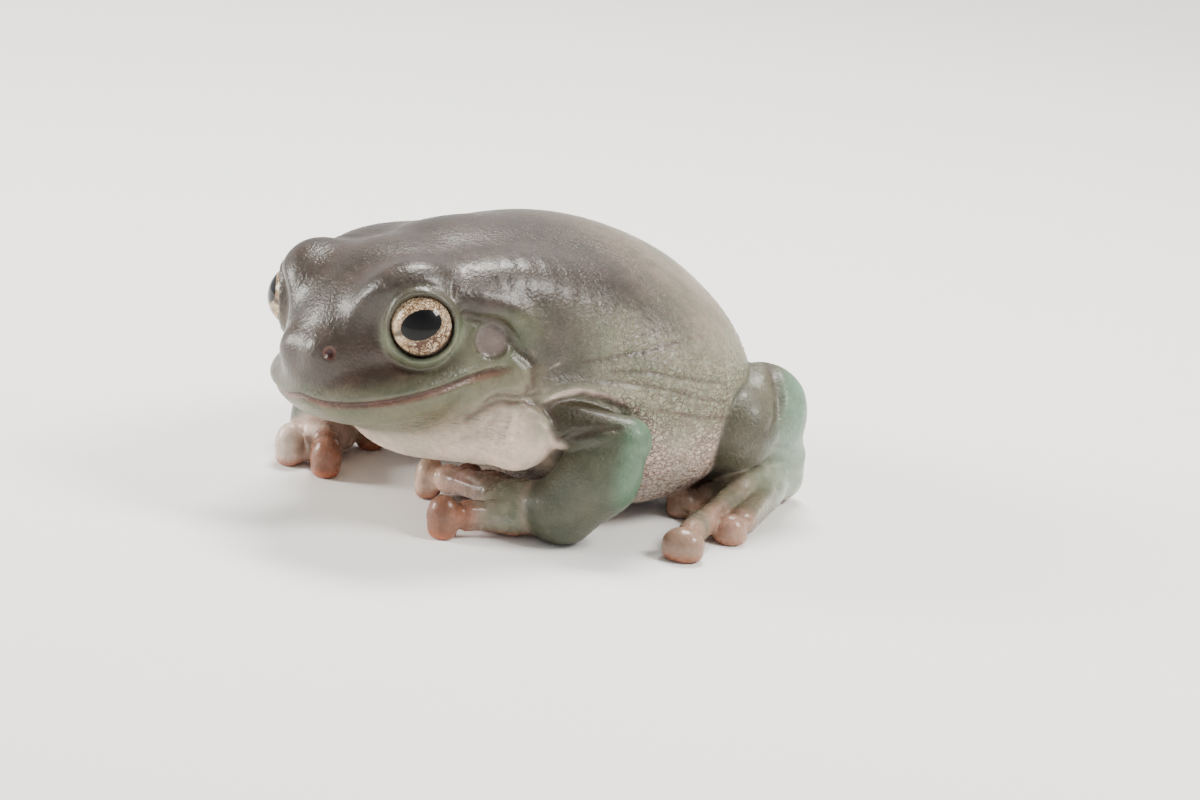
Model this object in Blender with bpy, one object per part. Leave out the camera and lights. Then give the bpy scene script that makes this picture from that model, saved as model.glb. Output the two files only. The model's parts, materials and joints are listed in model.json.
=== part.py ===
"""A White's tree frog, sitting, as a still life-size model in named solids.

The frog faces -Y, its left side is +X and +Z is up. Sizes below are in millimetres.
The flesh is modelled whole, as a smooth blend of simple forms on a grid of distances,
and then parted with thin cuts.
"""

import math

import bmesh
import bpy
import numpy as np
import openvdb
from mathutils import Euler, Matrix, Vector

MM = 0.001
GAP = 0.36
FAR = 50.0
FLOOR = 0.0

# The grid that the forms are blended on
STEP = 0.42
GRID_LOW = (-46.0, -1.0, -1.6)
GRID_HIGH = (46.0, 94.0, 43.5)

# The head's own frame: its origin lies between the corners of the mouth, z = 0 is the plane of the mouth
HEAD_ORIGIN = (0.0, 25.0, 21.2)
HEAD_PITCH = math.radians(10)
HEAD_ROLL = math.radians(-5)

# Head, in its own frame
EYE_RADIUS = 4.5
EYE_CENTRE = (12.35, -8.3, 10.13)
EYE_LOOK = (0.76, -0.64, 0.10)
EYE_OPENING = 4.05
EARDRUM = (17.3, -0.5, 6.3)
EARDRUM_RADIUS = 2.45
NOSTRIL = (4.6, -18.4, 7.9)
MOUTH_CORNER = 0.2
LIP = 0.25

# Limb joints of the left side
SHOULDER, ELBOW = (17.6, 30.2, 17.6), (28.9, 38.6, 15.6)
HIP, KNEE, ANKLE = (10, 66, 12), (27.0, 62.5, 13.6), (24.2, 75.4, 7.0)

# The plane where the head joins the torso: a point on it, and the way it faces
NECK_POINT = (0.0, 28.6, 28.0)
NECK_NORMAL = (0.0, 0.974, -0.226)

# Folds of the skin: curves in the head's frame, then in the frog's, each with its width and height
HEAD_FOLDS = [
    (
        ((15.5, -4.3, 11), (16.4, -2, 9.5), (17.8, 0.8, 8.4), (18.4, 1.7, 6.5), (19, 2.5, 4), (20, 3.6, 2)),
        0.75, -1.15,
    ),
    (
        ((14.9, -4.5, 14), (16.6, -1.2, 12), (18.3, 2.1, 10), (19.6, 4.2, 7.6), (20.7, 6, 4), (21.6, 6.6, 1)),
        1.8, 1.1,
    ),
    (
        ((19.2, 2.5, 4.1), (20.2, 3.6, 2.4), (20.9, 2.9, -0.5), (21.0, 2.0, -2.2), (20.7, 1.1, -2.8)),
        0.6, -0.7,
    ),
    (((20.4, 0.2, -2.2), (18.9, -1.4, -1.8), (17.3, -3.6, -2.6), (15.6, -5.4, -4.0)), 0.6, -0.6),
    (((19.0, -1.2, -0.8), (20.3, 0.7, -1.6), (21.2, 3.1, -2.5), (22.2, 5.4, -1.6)), 0.6, -0.5),
    (((19.6, -0.3, -2.2), (20.8, 1.4, -3.9), (21.7, 2.9, -5.8), (23.0, 4.0, -7.6)), 0.5, 0.4),
]
BODY_FOLDS = [
    (
        ((20.8, 26.6, 20.8), (21.8, 29.4, 20.2), (23, 33.8, 21), (24.6, 37, 20.6), (26.5, 40.2, 19.4)),
        0.7, -0.8,
    ),
    (
        ((21.6, 29, 22), (23, 33.8, 22.6), (24.6, 37, 22), (26.7, 40.4, 21), (28.2, 43, 19), (28.8, 45, 16)),
        1.2, 0.7,
    ),
    (((21.4, 28.4, 20.6), (22, 30.4, 18.6), (22.2, 32.4, 16.4)), 0.7, -0.6),
]

# Folds along the digits, in the left side's coordinates
FOOT_FOLDS = [
    (((28.2, 64.7, 6.4), (28.0, 61.0, 5.5), (30.4, 56.5, 5.0), (32.5, 53.2, 4.6)), 0.7, 0.35),
    (
        ((28.2, 67.8, 6.3), (29.9, 64.5, 5.2), (31.1, 59.7, 4.4), (32.5, 56, 3.9), (33.8, 52.4, 3.6)),
        0.55, -0.5,
    ),
    (((28.1, 69.7, 6.3), (30.2, 67.3, 4.6), (33.2, 62.0, 3.9), (34.6, 58.1, 2.8)), 0.6, 0.35),
]
HAND_FOLDS = [
    (((13.6, 22.8, 4.9), (14.6, 24.6, 4.9), (15.8, 27.0, 4.6)), 0.45, -0.3),
    (((14.8, 22.4, 3.9), (15.6, 24.4, 3.5), (16.6, 26.6, 3.2)), 0.45, -0.3),
    (((1.3, 31.0, 5.0), (4.7, 31.1, 5.1), (9.2, 30.7, 5.0)), 0.45, -0.3),
]

# Points this close to the floor are laid level on it
LEVEL = 0.12

# Triangles of each kind of node, and its colour and roughness
TRIANGLES = {
    "head": 5200,
    "torso": 3600,
    "upper_arm": 300,
    "forearm": 440,
    "hand": 1200,
    "thigh": 300,
    "shank": 420,
    "foot": 1100,
}
SURFACE = {
    "head": ((0.20, 0.22, 0.17), 0.35),
    "torso": ((0.22, 0.22, 0.18), 0.4),
    "eye": ((0.45, 0.33, 0.2), 0.1),
    "upper_arm": ((0.20, 0.26, 0.20), 0.4),
    "forearm": ((0.20, 0.27, 0.20), 0.4),
    "hand": ((0.42, 0.29, 0.25), 0.4),
    "thigh": ((0.22, 0.24, 0.20), 0.4),
    "shank": ((0.22, 0.26, 0.21), 0.4),
    "foot": ((0.40, 0.29, 0.25), 0.4),
}

LEFT, RIGHT = 1, -1
SIDE_NAME = {LEFT: "left", RIGHT: "right"}


class Frame:
    """A place and a turn. Shapes given in a frame's own coordinates are moved to the frog's."""

    def __init__(self, origin=(0, 0, 0), turn=(0, 0, 0), side=LEFT):
        self.origin = np.array(origin, float)
        self.matrix = np.array(Euler(turn, "XYZ").to_matrix(), float)
        self.matrix[:, 0] *= side

    def out(self, points):
        return np.atleast_2d(points) @ self.matrix.T + self.origin

    def inward(self, x, y, z):
        """The coordinates of grid points in this frame."""
        p = (x - self.origin[0], y - self.origin[1], z - self.origin[2])
        return [sum(self.matrix[i, j] * p[i] for i in range(3)) for j in range(3)]


WORLD = Frame()


def smooth_min(a, b, blend):
    if blend <= 0:
        return np.minimum(a, b)
    share = np.clip(0.5 + 0.5 * (b - a) / blend, 0, 1)
    return b + (a - b) * share - blend * share * (1 - share)


class Ellipsoid:
    def __init__(self, centre, radii, turn=(0, 0, 0), frame=WORLD):
        self.radii = np.array(radii, float)
        local = np.array(Euler([math.radians(a) for a in turn], "XYZ").to_matrix(), float)
        self.matrix = frame.matrix @ local
        self.centre = frame.out(centre)[0]
        reach = np.sqrt((self.matrix**2) @ (self.radii**2))
        self.low, self.high = self.centre - reach, self.centre + reach

    def distance(self, x, y, z):
        p = (x - self.centre[0], y - self.centre[1], z - self.centre[2])
        q = [sum(self.matrix[i, j] * p[i] for i in range(3)) / self.radii[j] for j in range(3)]
        near = np.sqrt(q[0] ** 2 + q[1] ** 2 + q[2] ** 2) + 1e-6
        slope = np.sqrt(sum((q[j] / self.radii[j]) ** 2 for j in range(3))) + 1e-6
        return near * (near - 1) / slope


class Limb:
    """A chain of tapering round rods through the given points."""

    def __init__(self, points, radii, frame=WORLD, blend=0.0):
        self.points = frame.out(points)
        self.radii = np.broadcast_to(np.array(radii, float), len(self.points))
        self.blend = blend
        self.low = (self.points - self.radii[:, None]).min(0)
        self.high = (self.points + self.radii[:, None]).max(0)

    def distance(self, x, y, z):
        found = None
        for a, b, ra, rb in zip(self.points, self.points[1:], self.radii, self.radii[1:]):
            run = b - a
            p = (x - a[0], y - a[1], z - a[2])
            share = np.clip((p[0] * run[0] + p[1] * run[1] + p[2] * run[2]) / (run @ run), 0, 1)
            off = [p[i] - share * run[i] for i in range(3)]
            part = np.sqrt(off[0] ** 2 + off[1] ** 2 + off[2] ** 2) - (ra + (rb - ra) * share)
            found = part if found is None else smooth_min(found, part, self.blend)
        return found


class Clay:
    """A form as distances to its surface on a grid, in millimetres, negative inside."""

    def __init__(self, low=GRID_LOW, high=GRID_HIGH, step=STEP):
        self.low, self.step = np.array(low, float), step
        counts = np.ceil((np.array(high) - self.low) / step).astype(int) + 1
        self.axes = [self.low[i] + step * np.arange(counts[i]) for i in range(3)]
        self.field = np.full(counts, FAR, np.float32)

    def window(self, low, high):
        """The block of the grid that holds a box: its slices, and its coordinates ready to broadcast."""
        cut = []
        for i in range(3):
            first = int(np.clip((low[i] - self.low[i]) / self.step, 0, len(self.axes[i]) - 2))
            last = int(np.clip((high[i] - self.low[i]) / self.step + 2, 1, len(self.axes[i])))
            cut.append(slice(first, max(last, first + 1)))
        x, y, z = (self.axes[i][cut[i]].astype(np.float32) for i in range(3))
        return tuple(cut), (x[:, None, None], y[None, :, None], z[None, None, :])

    def add(self, shape, blend=1.0):
        margin = blend + 3.0
        cut, place = self.window(shape.low - margin, shape.high + margin)
        self.field[cut] = smooth_min(self.field[cut], shape.distance(*place), blend)
        return self

    def carve(self, shape, blend=0.5):
        margin = blend + 3.0
        cut, place = self.window(shape.low - margin, shape.high + margin)
        self.field[cut] = -smooth_min(-self.field[cut], shape.distance(*place), blend)
        return self

    def value(self, points):
        """The distance and its slope at the given points, read between the grid's own."""
        at = (points - self.low) / self.step
        base = np.clip(np.floor(at).astype(int), 0, np.array(self.field.shape) - 2)
        f = at - base
        corner = np.zeros((2, 2, 2, len(points)))
        for i in range(2):
            for j in range(2):
                for k in range(2):
                    corner[i, j, k] = self.field[base[:, 0] + i, base[:, 1] + j, base[:, 2] + k]
        x, y, z = f[:, 0], f[:, 1], f[:, 2]
        cx = corner[0] * (1 - x) + corner[1] * x
        cy = cx[0] * (1 - y) + cx[1] * y
        found = cy[0] * (1 - z) + cy[1] * z
        across = corner[1] - corner[0]
        across = across[0] * (1 - y) + across[1] * y
        slope_x = across[0] * (1 - z) + across[1] * z
        back = cx[1] - cx[0]
        slope_y = back[0] * (1 - z) + back[1] * z
        slope_z = cy[1] - cy[0]
        return found, np.stack([slope_x, slope_y, slope_z], 1) / self.step

    def settle(self, points, rounds=8):
        """The points moved onto the surface, along the field's slope."""
        points = np.array(points, float)
        for _ in range(rounds):
            found, slope = self.value(points)
            points = points - 0.8 * found[:, None] * slope / (np.sum(slope**2, 1)[:, None] + 0.05)
        return points

    def trace(self, points, width, height, frame=WORLD, taper=True):
        """A ridge, or a groove where the height is negative, along a curve laid on the surface."""
        path = self.settle(smooth_path(frame.out(points), 0.6))
        reach = 2.6 * width
        cut, place = self.window(path.min(0) - reach, path.max(0) + reach)
        near = np.full(self.field[cut].shape, FAR, np.float32)
        share = np.zeros_like(near)
        for i, (a, b) in enumerate(zip(path, path[1:])):
            run = b - a
            inner, spot = self.window(np.minimum(a, b) - reach, np.maximum(a, b) + reach)
            local = tuple(
                slice(inner[k].start - cut[k].start, inner[k].stop - cut[k].start) for k in range(3)
            )
            p = [spot[k] - a[k] for k in range(3)]
            along = np.clip(sum(p[k] * run[k] for k in range(3)) / (run @ run + 1e-9), 0, 1)
            d = np.sqrt(sum((p[k] - along * run[k]) ** 2 for k in range(3)))
            closer = d < near[local]
            near[local] = np.where(closer, d, near[local])
            share[local] = np.where(closer, (i + along) / (len(path) - 1), share[local])
        fade = np.sqrt(np.abs(np.sin(np.pi * np.clip(share, 0, 1)))) if taper else 1.0
        self.field[cut] -= height * fade * np.exp(-((near / width) ** 2))
        return self


def smooth_path(points, spacing):
    """A Catmull-Rom curve through the points, sampled evenly."""
    points = np.array(points, float)
    padded = np.vstack([2 * points[0] - points[1], points, 2 * points[-1] - points[-2]])
    found = []
    for a, b, c, d in zip(padded, padded[1:], padded[2:], padded[3:]):
        count = max(2, int(np.linalg.norm(c - b) / spacing))
        for t in np.linspace(0, 1, count, endpoint=False):
            bend = (2 * a - 5 * b + 4 * c - d) * t**2 + (3 * b - a - 3 * c + d) * t**3
            found.append(0.5 * (2 * b + (c - a) * t + bend))
    found.append(points[-1])
    return np.array(found)


def head_frame(side=LEFT):
    """The head's frame. A side of RIGHT mirrors what is placed in it."""
    frame = Frame(HEAD_ORIGIN)
    turn = Euler((HEAD_PITCH, HEAD_ROLL, 0), "XYZ").to_matrix()
    frame.matrix = np.array(turn, float)
    frame.matrix[:, 0] *= side
    return frame


def model_torso(clay):
    clay.add(Ellipsoid((0, 49.5, 20.2), (27.3, 25.6, 18.9), turn=(-7, 0, 0)))
    clay.add(Ellipsoid((0, 55, 12.3), (18.5, 18.0, 12.6)), 6)
    clay.add(Ellipsoid((0, 34, 21.5), (19.5, 18.5, 16.4)), 7)
    clay.add(Ellipsoid((0, 62.6, 18.2), (18.2, 12.6, 12.4)), 7)
    clay.add(Ellipsoid((0, 33, 16.5), (13, 14, 8.6)), 4)
    clay.add(Ellipsoid((0, 29, 26.4), (14.5, 16.5, 12.6), turn=(6, 0, 0)), 6)
    for side in (LEFT, RIGHT):
        frame = head_frame(side)
        clay.add(Ellipsoid((side * 14.5, 54.0, 15.7), (15.0, 17.6, 14.1)), 6)
        clay.add(Ellipsoid((side * 12.5, 30, 19), (8.2, 9.0, 8.5)), 5)
        clay.add(Ellipsoid((side * 18.2, 28.4, 15.2), (4.2, 4.4, 5.0)), 3)
        ridge = smooth_path([(11.5, -1.5, 11.6), (13.0, 3.5, 10.6), (14.6, 9.5, 8.2), (15.5, 16, 4)], 2)
        clay.add(Limb(ridge, np.linspace(4.4, 7.0, len(ridge)), frame), 5)
    clay.carve(Ellipsoid((0, 31, -3.6), (40, 13.5, 12.8)), 4)


def model_head(clay):
    middle = head_frame()
    clay.add(Ellipsoid((0, -2.5, 7.6), (14.8, 14.2, 10.7), frame=middle), 4)
    clay.add(Ellipsoid((0, -11.8, 6.0), (7.6, 8.8, 6.2), turn=(12, 0, 0), frame=middle), 4)
    clay.add(Ellipsoid((0, -4.0, 1.9), (16.1, 16.2, 4.2), frame=middle), 2.5)
    clay.add(Ellipsoid((0, -4.6, 0.2), (15.7, 15.2, 6.5), turn=(-4, 0, 0), frame=middle), 1.5)
    clay.add(Ellipsoid((0, 2.0, -3.2), (15.2, 13.0, 7.4), turn=(-8, 0, 0), frame=middle), 4)
    for side in (LEFT, RIGHT):
        frame = head_frame(side)
        clay.add(Ellipsoid((9.5, -7.2, 12.5), (4.8, 7.3, 5.8), turn=(0, 12, -24), frame=frame), 3.5)
        clay.add(Ellipsoid((11.8, -0.5, 4.4), (4.5, 7.0, 4.8), frame=frame), 3)
        clay.carve(Ellipsoid((13.9, -18.1, 12.0), (7.1, 7.3, 6.0), frame=frame), 1.6)
        clay.add(Ellipsoid((2.4, -17.6, 7.4), (2.6, 2.4, 2.3), frame=frame), 2)


def model_face(clay):
    middle = head_frame()
    for side in (LEFT, RIGHT):
        frame = head_frame(side)
        look = np.array(EYE_LOOK) / np.linalg.norm(EYE_LOOK)
        centre = np.array(EYE_CENTRE)
        clay.add(Ellipsoid(centre, [EYE_RADIUS + 0.6] * 3, frame=frame), 1.2)
        clay.carve(Ellipsoid(centre, [EYE_RADIUS + GAP] * 3, frame=frame), 0.1)
        opening = [centre + look * 1.9, centre + look * 5.5]
        clay.carve(Limb(opening, [EYE_OPENING, EYE_OPENING + 6.2], frame), 0.3)
        ring(clay, frame.out([centre + look * 1.6])[0], EYE_OPENING + 0.75, 0.4, 0.2)
        nostril = frame.out([NOSTRIL])
        spot = clay.settle(nostril)[0]
        clay.carve(Ellipsoid(spot, (0.72, 0.72, 0.8)), 0.4)
        drum_disc(clay, clay.settle(frame.out([EARDRUM]))[0])
    mouth_line(clay, middle)


def ring(clay, centre, radius, width, height):
    """A raised rim round a spot on the surface, with the patch inside it a little sunk."""
    reach = radius + 3 * width
    cut, place = clay.window(centre - reach, centre + reach)
    away = np.sqrt(sum((place[k] - centre[k]) ** 2 for k in range(3)))
    clay.field[cut] -= height * np.exp(-(((away - radius) / width) ** 2))


def drum_disc(clay, centre):
    """The eardrum: a flat round patch, a little sunk, with a soft rim."""
    reach = EARDRUM_RADIUS + 2.5
    slope = clay.value(centre[None])[1][0]
    slope = slope / np.linalg.norm(slope)
    cut, place = clay.window(centre - reach, centre + reach)
    away = [place[k] - centre[k] for k in range(3)]
    rise = sum(away[k] * slope[k] for k in range(3))
    radius = np.sqrt(np.maximum(sum(a**2 for a in away) - rise**2, 0))
    share = 1 / (1 + np.exp((radius - EARDRUM_RADIUS) / 0.3))
    share = share * np.clip(2.5 - np.abs(rise), 0, 1)
    clay.field[cut] += share * (rise + 0.25 - clay.field[cut])
    ring(clay, centre, EARDRUM_RADIUS + 0.3, 0.45, 0.25)


def mouth_line(clay, frame, depth=0.6, width=0.5):
    """The slit between the jaws, curving up to its corners, with a soft lip over it."""
    low, high = frame.out([(-20, -24, -6)])[0] - 6, frame.out([(20, 4, 8)])[0] + 6
    cut, place = clay.window(low, high)
    x, y, z = frame.inward(*place)
    end = 1 / (1 + np.exp((y - MOUTH_CORNER) / 0.4))
    above = z - mouth_level(x, y)
    slit = depth * np.exp(-((above / width) ** 2))
    lip = LIP * np.exp(-(((above - 0.9) / 0.6) ** 2))
    clay.field[cut] += end * (slit - lip)


def mouth_level(x, y):
    """The height of the mouth's line: it rises at the middle of the lip and to the corners."""
    return 0.9 + 0.07 * (y + 19) + 0.9 * np.exp(-((x / 3) ** 2))


def model_upper_arm(clay, side):
    clay.add(Limb([SHOULDER, ELBOW], [3.6, 3.3], Frame(side=side)))


def model_forearm(clay, side):
    low = (22.4, 34.0, 4.75) if side == LEFT else (27.5, 34.5, 4.75)
    middle = 0.5 * (np.array(ELBOW) + low) + (0.6, 0.4, 0.2)
    clay.add(Limb([ELBOW, middle, low], [3.3, 5.1, 4.9], Frame(side=side), 2.5))


def model_digit(clay, frame, points, radii, pad_radii, heading):
    """A finger or toe: a tapering rod with a groove at each joint, and a pad pressed flat at its tip."""
    clay.add(Limb(smooth_path(points, 1.5), spread(radii, points), frame), 0.5)
    pad = Ellipsoid(points[-1], pad_radii, turn=(0, 0, heading), frame=frame)
    clay.add(pad, 0.4)
    sole = (points[-1][0], points[-1][1], 0.9)
    share = min(1, 1.35 - 0.18 * pad_radii[2])
    sole_radii = (pad_radii[0] * share, pad_radii[1] * share, 1.1)
    clay.add(Ellipsoid(sole, sole_radii, turn=(0, 0, heading), frame=frame), 0.9)
    placed = frame.out(points)
    for before, joint in zip(placed, placed[1:-1]):
        groove_round(clay, joint, joint - before, 0.5, 0.08)
    run = (placed[-1] - placed[-2]) / np.linalg.norm(placed[-1] - placed[-2])
    length = np.linalg.norm((run @ pad.matrix) * pad.radii)
    groove_round(clay, placed[-1] - run * (length + 0.3), run, 0.5, 0.32)


def spread(radii, points):
    """The radii at the points of a smoothed path."""
    path = smooth_path(points, 1.5)
    return np.interp(np.linspace(0, 1, len(path)), np.linspace(0, 1, len(radii)), radii)


def groove_round(clay, spot, run, width, depth, reach=3.2):
    """A groove round a digit, where the plane through a spot crosses it."""
    run = run / np.linalg.norm(run)
    cut, place = clay.window(spot - reach, spot + reach)
    away = [place[k] - spot[k] for k in range(3)]
    along = sum(away[k] * run[k] for k in range(3))
    off = np.sqrt(np.maximum(sum(a**2 for a in away) - along**2, 0))
    clay.field[cut] += depth * np.clip(reach - off, 0, 1) * np.exp(-((along / width) ** 2))


def web(clay, frame, centre, length, width, heading):
    """A thin web between two digits, flat on the floor."""
    clay.add(Ellipsoid(centre, (width, length, 1.1), turn=(0, 0, heading), frame=frame), 1.2)


def model_hand(clay, side):
    frame = Frame(side=side)
    if side == LEFT:
        clay.add(Ellipsoid((15.4, 32.6, 3.4), (5.6, 4.8, 3.3), turn=(0, 0, 30), frame=frame), 1.5)
        clay.add(Limb([(20.5, 33.6, 4.4), (15.5, 32.0, 3.9)], [3.8, 3.4], frame), 1.5)
        first = [(17.2, 30.0, 2.8), (14.6, 26.6, 2.9), (12.4, 21.0, 3.0)]
        model_digit(clay, frame, first, [2.6, 2.1, 2.2, 1.8], (2.4, 2.1, 3.1), 10)
        second = [(12.4, 32.8, 3.8), (7.5, 32.6, 4.0), (2.4, 32.6, 3.6), (-2.2, 31.8, 3.0)]
        model_digit(clay, frame, second, [2.3, 2.2, 1.9, 2.2, 1.7], (1.9, 2.4, 3.0), 15)
        third = [(13, 36.0, 3.4), (6.5, 37.6, 3.2), (0.0, 37.4, 2.4)]
        model_digit(clay, frame, third, [2.0, 1.7, 1.9, 1.5], (2.0, 2.4, 2.3), -10)
        fourth = [(17, 35, 3.0), (14, 40, 2.4), (9.5, 43.0, 1.9)]
        model_digit(clay, frame, fourth, [1.9, 1.6, 1.7, 1.4], (2.0, 2.1, 2.1), -40)
        web(clay, frame, (11.6, 29.4, 1.5), 4.4, 3.2, -60)
        for points, width, height in HAND_FOLDS:
            clay.trace(points, width, height, frame)
    else:
        clay.add(Ellipsoid((24.6, 32.0, 3.3), (5.0, 4.6, 3.1), turn=(0, 0, 50), frame=frame), 1.5)
        clay.add(Limb([(27.0, 34.0, 4.6), (24.8, 32.5, 3.9)], [3.8, 3.2], frame), 1.5)
        first = [(27.5, 30.5, 2.8), (26.4, 27.5, 3.1), (23.8, 24.6, 3.0)]
        model_digit(clay, frame, first, [2.3, 1.9, 2.1, 1.8], (2.2, 2.1, 3.1), 25)
        second = [(23.4, 30.0, 3.4), (20.6, 28.4, 4.0), (17.0, 25.6, 2.8)]
        model_digit(clay, frame, second, [2.3, 2.0, 2.2, 1.8], (2.6, 2.3, 3.0), 30)
        third = [(24.5, 33.5, 3.2), (24.3, 37.0, 2.8), (23.6, 40.2, 2.0)]
        model_digit(clay, frame, third, [2.0, 1.6, 1.7, 1.4], (1.9, 2.1, 2.0), -10)
        fourth = [(26.5, 34, 3.0), (28.6, 38.2, 2.6), (29.6, 41.8, 1.9)]
        model_digit(clay, frame, fourth, [1.9, 1.6, 1.6, 1.4], (1.9, 2.1, 1.9), 10)
        web(clay, frame, (22.6, 28.4, 1.5), 3.4, 2.6, 35)


def model_thigh(clay, side):
    clay.add(Limb([HIP, (20.3, 63.7, 12.2), KNEE], [6.5, 7.5, 6.0], Frame(side=side), 2))


def model_shank(clay, side):
    clay.add(Limb([KNEE, (24.8, 69.3, 14.4), ANKLE], [5.6, 6.4, 3.4], Frame(side=side), 2))


def model_foot(clay, side):
    frame = Frame(side=side)
    heel = [(24.2, 75.2, 6.6), (24.0, 75.2, 3.8), (25.2, 70, 3.8), (27.0, 64, 3.4)]
    clay.add(Limb(heel, [3.2, 3.6, 3.6, 3.3], frame, 1), 1)
    clay.add(Ellipsoid((27.2, 66.0, 2.6), (4.2, 7.0, 2.4), turn=(0, 0, 15), frame=frame), 1.5)
    longest = [(27.6, 64, 3.2), (30.6, 56, 2.9), (33.6, 48.6, 2.6), (36.4, 43.6, 2.2)]
    model_digit(clay, frame, longest, [2.5, 2.2, 1.9, 2.0, 1.7], (3.0, 2.5, 2.3), 25)
    outer = [(29, 67, 2.8), (32.4, 60.6, 2.6), (34.6, 54.8, 2.0)]
    model_digit(clay, frame, outer, [2.1, 1.8, 1.9, 1.5], (2.3, 2.1, 2.1), 25)
    inner = [(26, 66, 3.0), (24.0, 61.5, 2.7), (22.6, 57.6, 2.0)]
    model_digit(clay, frame, inner, [2.0, 1.8, 1.9, 1.5], (2.3, 2.1, 2.1), 20)
    shortest = [(24, 69, 2.8), (21, 65, 2.5), (18.6, 62.0, 1.9)]
    model_digit(clay, frame, shortest, [1.9, 1.6, 1.7, 1.4], (2.0, 1.9, 2.0), 40)
    web(clay, frame, (31.0, 60.0, 1.5), 6.0, 2.8, 20)
    web(clay, frame, (26.6, 60.4, 1.5), 5.0, 3.4, 0)
    for points, width, height in FOOT_FOLDS:
        clay.trace(points, width, height, frame)


def model_core(clay):
    model_torso(clay)
    head = Clay(step=clay.step)
    model_head(head)
    clay.field = smooth_min(clay.field, head.field, 1.1)
    model_face(clay)
    for side in (LEFT, RIGHT):
        frame = head_frame(side)
        for points, width, height in HEAD_FOLDS:
            clay.trace(points, width, height, frame)
        for points, width, height in BODY_FOLDS:
            clay.trace(points, width, height, Frame(side=side))


def neck_distance(clay):
    """How far each grid point lies behind the plane where the head joins the torso."""
    _, place = clay.window(GRID_LOW, GRID_HIGH)
    return sum((place[k] - NECK_POINT[k]) * NECK_NORMAL[k] for k in range(3))


def parted():
    """The distances of each node: the flesh parted with thin cuts, and level where it rests."""
    core = Clay()
    model_core(core)
    behind = neck_distance(core)
    nodes = {
        "head": np.maximum(core.field, behind + GAP / 2),
        "torso": np.maximum(core.field, GAP / 2 - behind),
    }
    for side in (LEFT, RIGHT):
        for limb in LIMBS:
            taken = core.field
            for kind, model in limb.items():
                piece = Clay()
                model(piece, side)
                nodes[f"{kind}_{SIDE_NAME[side]}"] = -smooth_min(-piece.field, taken - GAP, 0.7)
                taken = np.minimum(taken, piece.field)
    up = core.axes[2][None, None, :].astype(np.float32)
    return {name: np.maximum(field, FLOOR - up) for name, field in nodes.items()}


# The pieces of each limb: one that comes later is cut back from those before it
LIMBS = (
    {"forearm": model_forearm, "upper_arm": model_upper_arm, "hand": model_hand},
    {"thigh": model_thigh, "shank": model_shank, "foot": model_foot},
)


def mesh_from(field, name):
    """The surface of a grid of distances as a Blender object, in metres, with its largest piece kept."""
    grid = openvdb.FloatGrid(FAR)
    grid.copyFromArray(field)
    points, triangles, quads = grid.convertToPolygons(0.0, 0.0)
    points = points.astype(float) * STEP + GRID_LOW
    faces = [tuple(int(i) for i in f) for f in triangles] + [tuple(int(i) for i in f) for f in quads]
    mesh = bpy.data.meshes.new(name)
    mesh.from_pydata((points * MM).tolist(), [], faces)
    keep_largest(mesh)
    obj = bpy.data.objects.new(name, mesh)
    bpy.context.scene.collection.objects.link(obj)
    return obj


def keep_largest(mesh):
    shape = bmesh.new()
    shape.from_mesh(mesh)
    waiting = set(shape.verts)
    pieces = []
    while waiting:
        front = [waiting.pop()]
        piece = set(front)
        while front:
            for edge in front.pop().link_edges:
                for vert in edge.verts:
                    if vert in waiting:
                        waiting.discard(vert)
                        piece.add(vert)
                        front.append(vert)
        pieces.append(piece)
    largest = max(pieces, key=len)
    bmesh.ops.delete(shape, geom=[v for v in shape.verts if v not in largest], context="VERTS")
    shape.to_mesh(mesh)
    shape.free()


def lighten(obj, triangles):
    """Fewer faces, the soles level again, and every face a triangle."""
    shape = bmesh.new()
    shape.from_mesh(obj.data)
    bmesh.ops.triangulate(shape, faces=shape.faces)
    shape.to_mesh(obj.data)
    shape.free()
    change = obj.modifiers.new("lighten", "DECIMATE")
    change.ratio = min(1.0, triangles / len(obj.data.polygons))
    change.use_collapse_triangulate = True
    evaluated = obj.evaluated_get(bpy.context.evaluated_depsgraph_get())
    lighter = bpy.data.meshes.new_from_object(evaluated)
    obj.modifiers.clear()
    obj.data = lighter
    for vert in lighter.vertices:
        if vert.co.z < LEVEL * MM:
            vert.co.z = FLOOR


def add_eye(side):
    ball = bmesh.new()
    bmesh.ops.create_uvsphere(ball, u_segments=22, v_segments=14, radius=EYE_RADIUS * MM)
    look = head_frame(side).matrix @ np.array(EYE_LOOK)
    turn = Vector((0, 0, 1)).rotation_difference(Vector(look)).to_matrix().to_4x4()
    place = Vector(head_frame(side).out([EYE_CENTRE])[0] * MM)
    bmesh.ops.transform(ball, matrix=Matrix.Translation(place) @ turn, verts=ball.verts)
    mesh = bpy.data.meshes.new(f"eye_{SIDE_NAME[side]}")
    ball.to_mesh(mesh)
    ball.free()
    obj = bpy.data.objects.new(mesh.name, mesh)
    bpy.context.scene.collection.objects.link(obj)
    return obj


def paint(obj, colour, roughness):
    material = bpy.data.materials.new(f"{obj.name}_surface")
    material.use_nodes = True
    shader = material.node_tree.nodes["Principled BSDF"]
    shader.inputs["Base Color"].default_value = (*colour, 1)
    shader.inputs["Roughness"].default_value = roughness
    obj.data.materials.clear()
    obj.data.materials.append(material)


def recentre(objects):
    """Moves the frog so that the middle of its sole is the origin. Returns the move, in millimetres."""
    corners = np.array([v.co for obj in objects for v in obj.data.vertices])
    low, high = corners.min(0), corners.max(0)
    move = Vector((-(low[0] + high[0]) / 2, -(low[1] + high[1]) / 2, -low[2]))
    for obj in objects:
        obj.data.transform(Matrix.Translation(move))
    return np.array(move) / MM


def clear():
    for obj in list(bpy.data.objects):
        bpy.data.objects.remove(obj)


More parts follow.
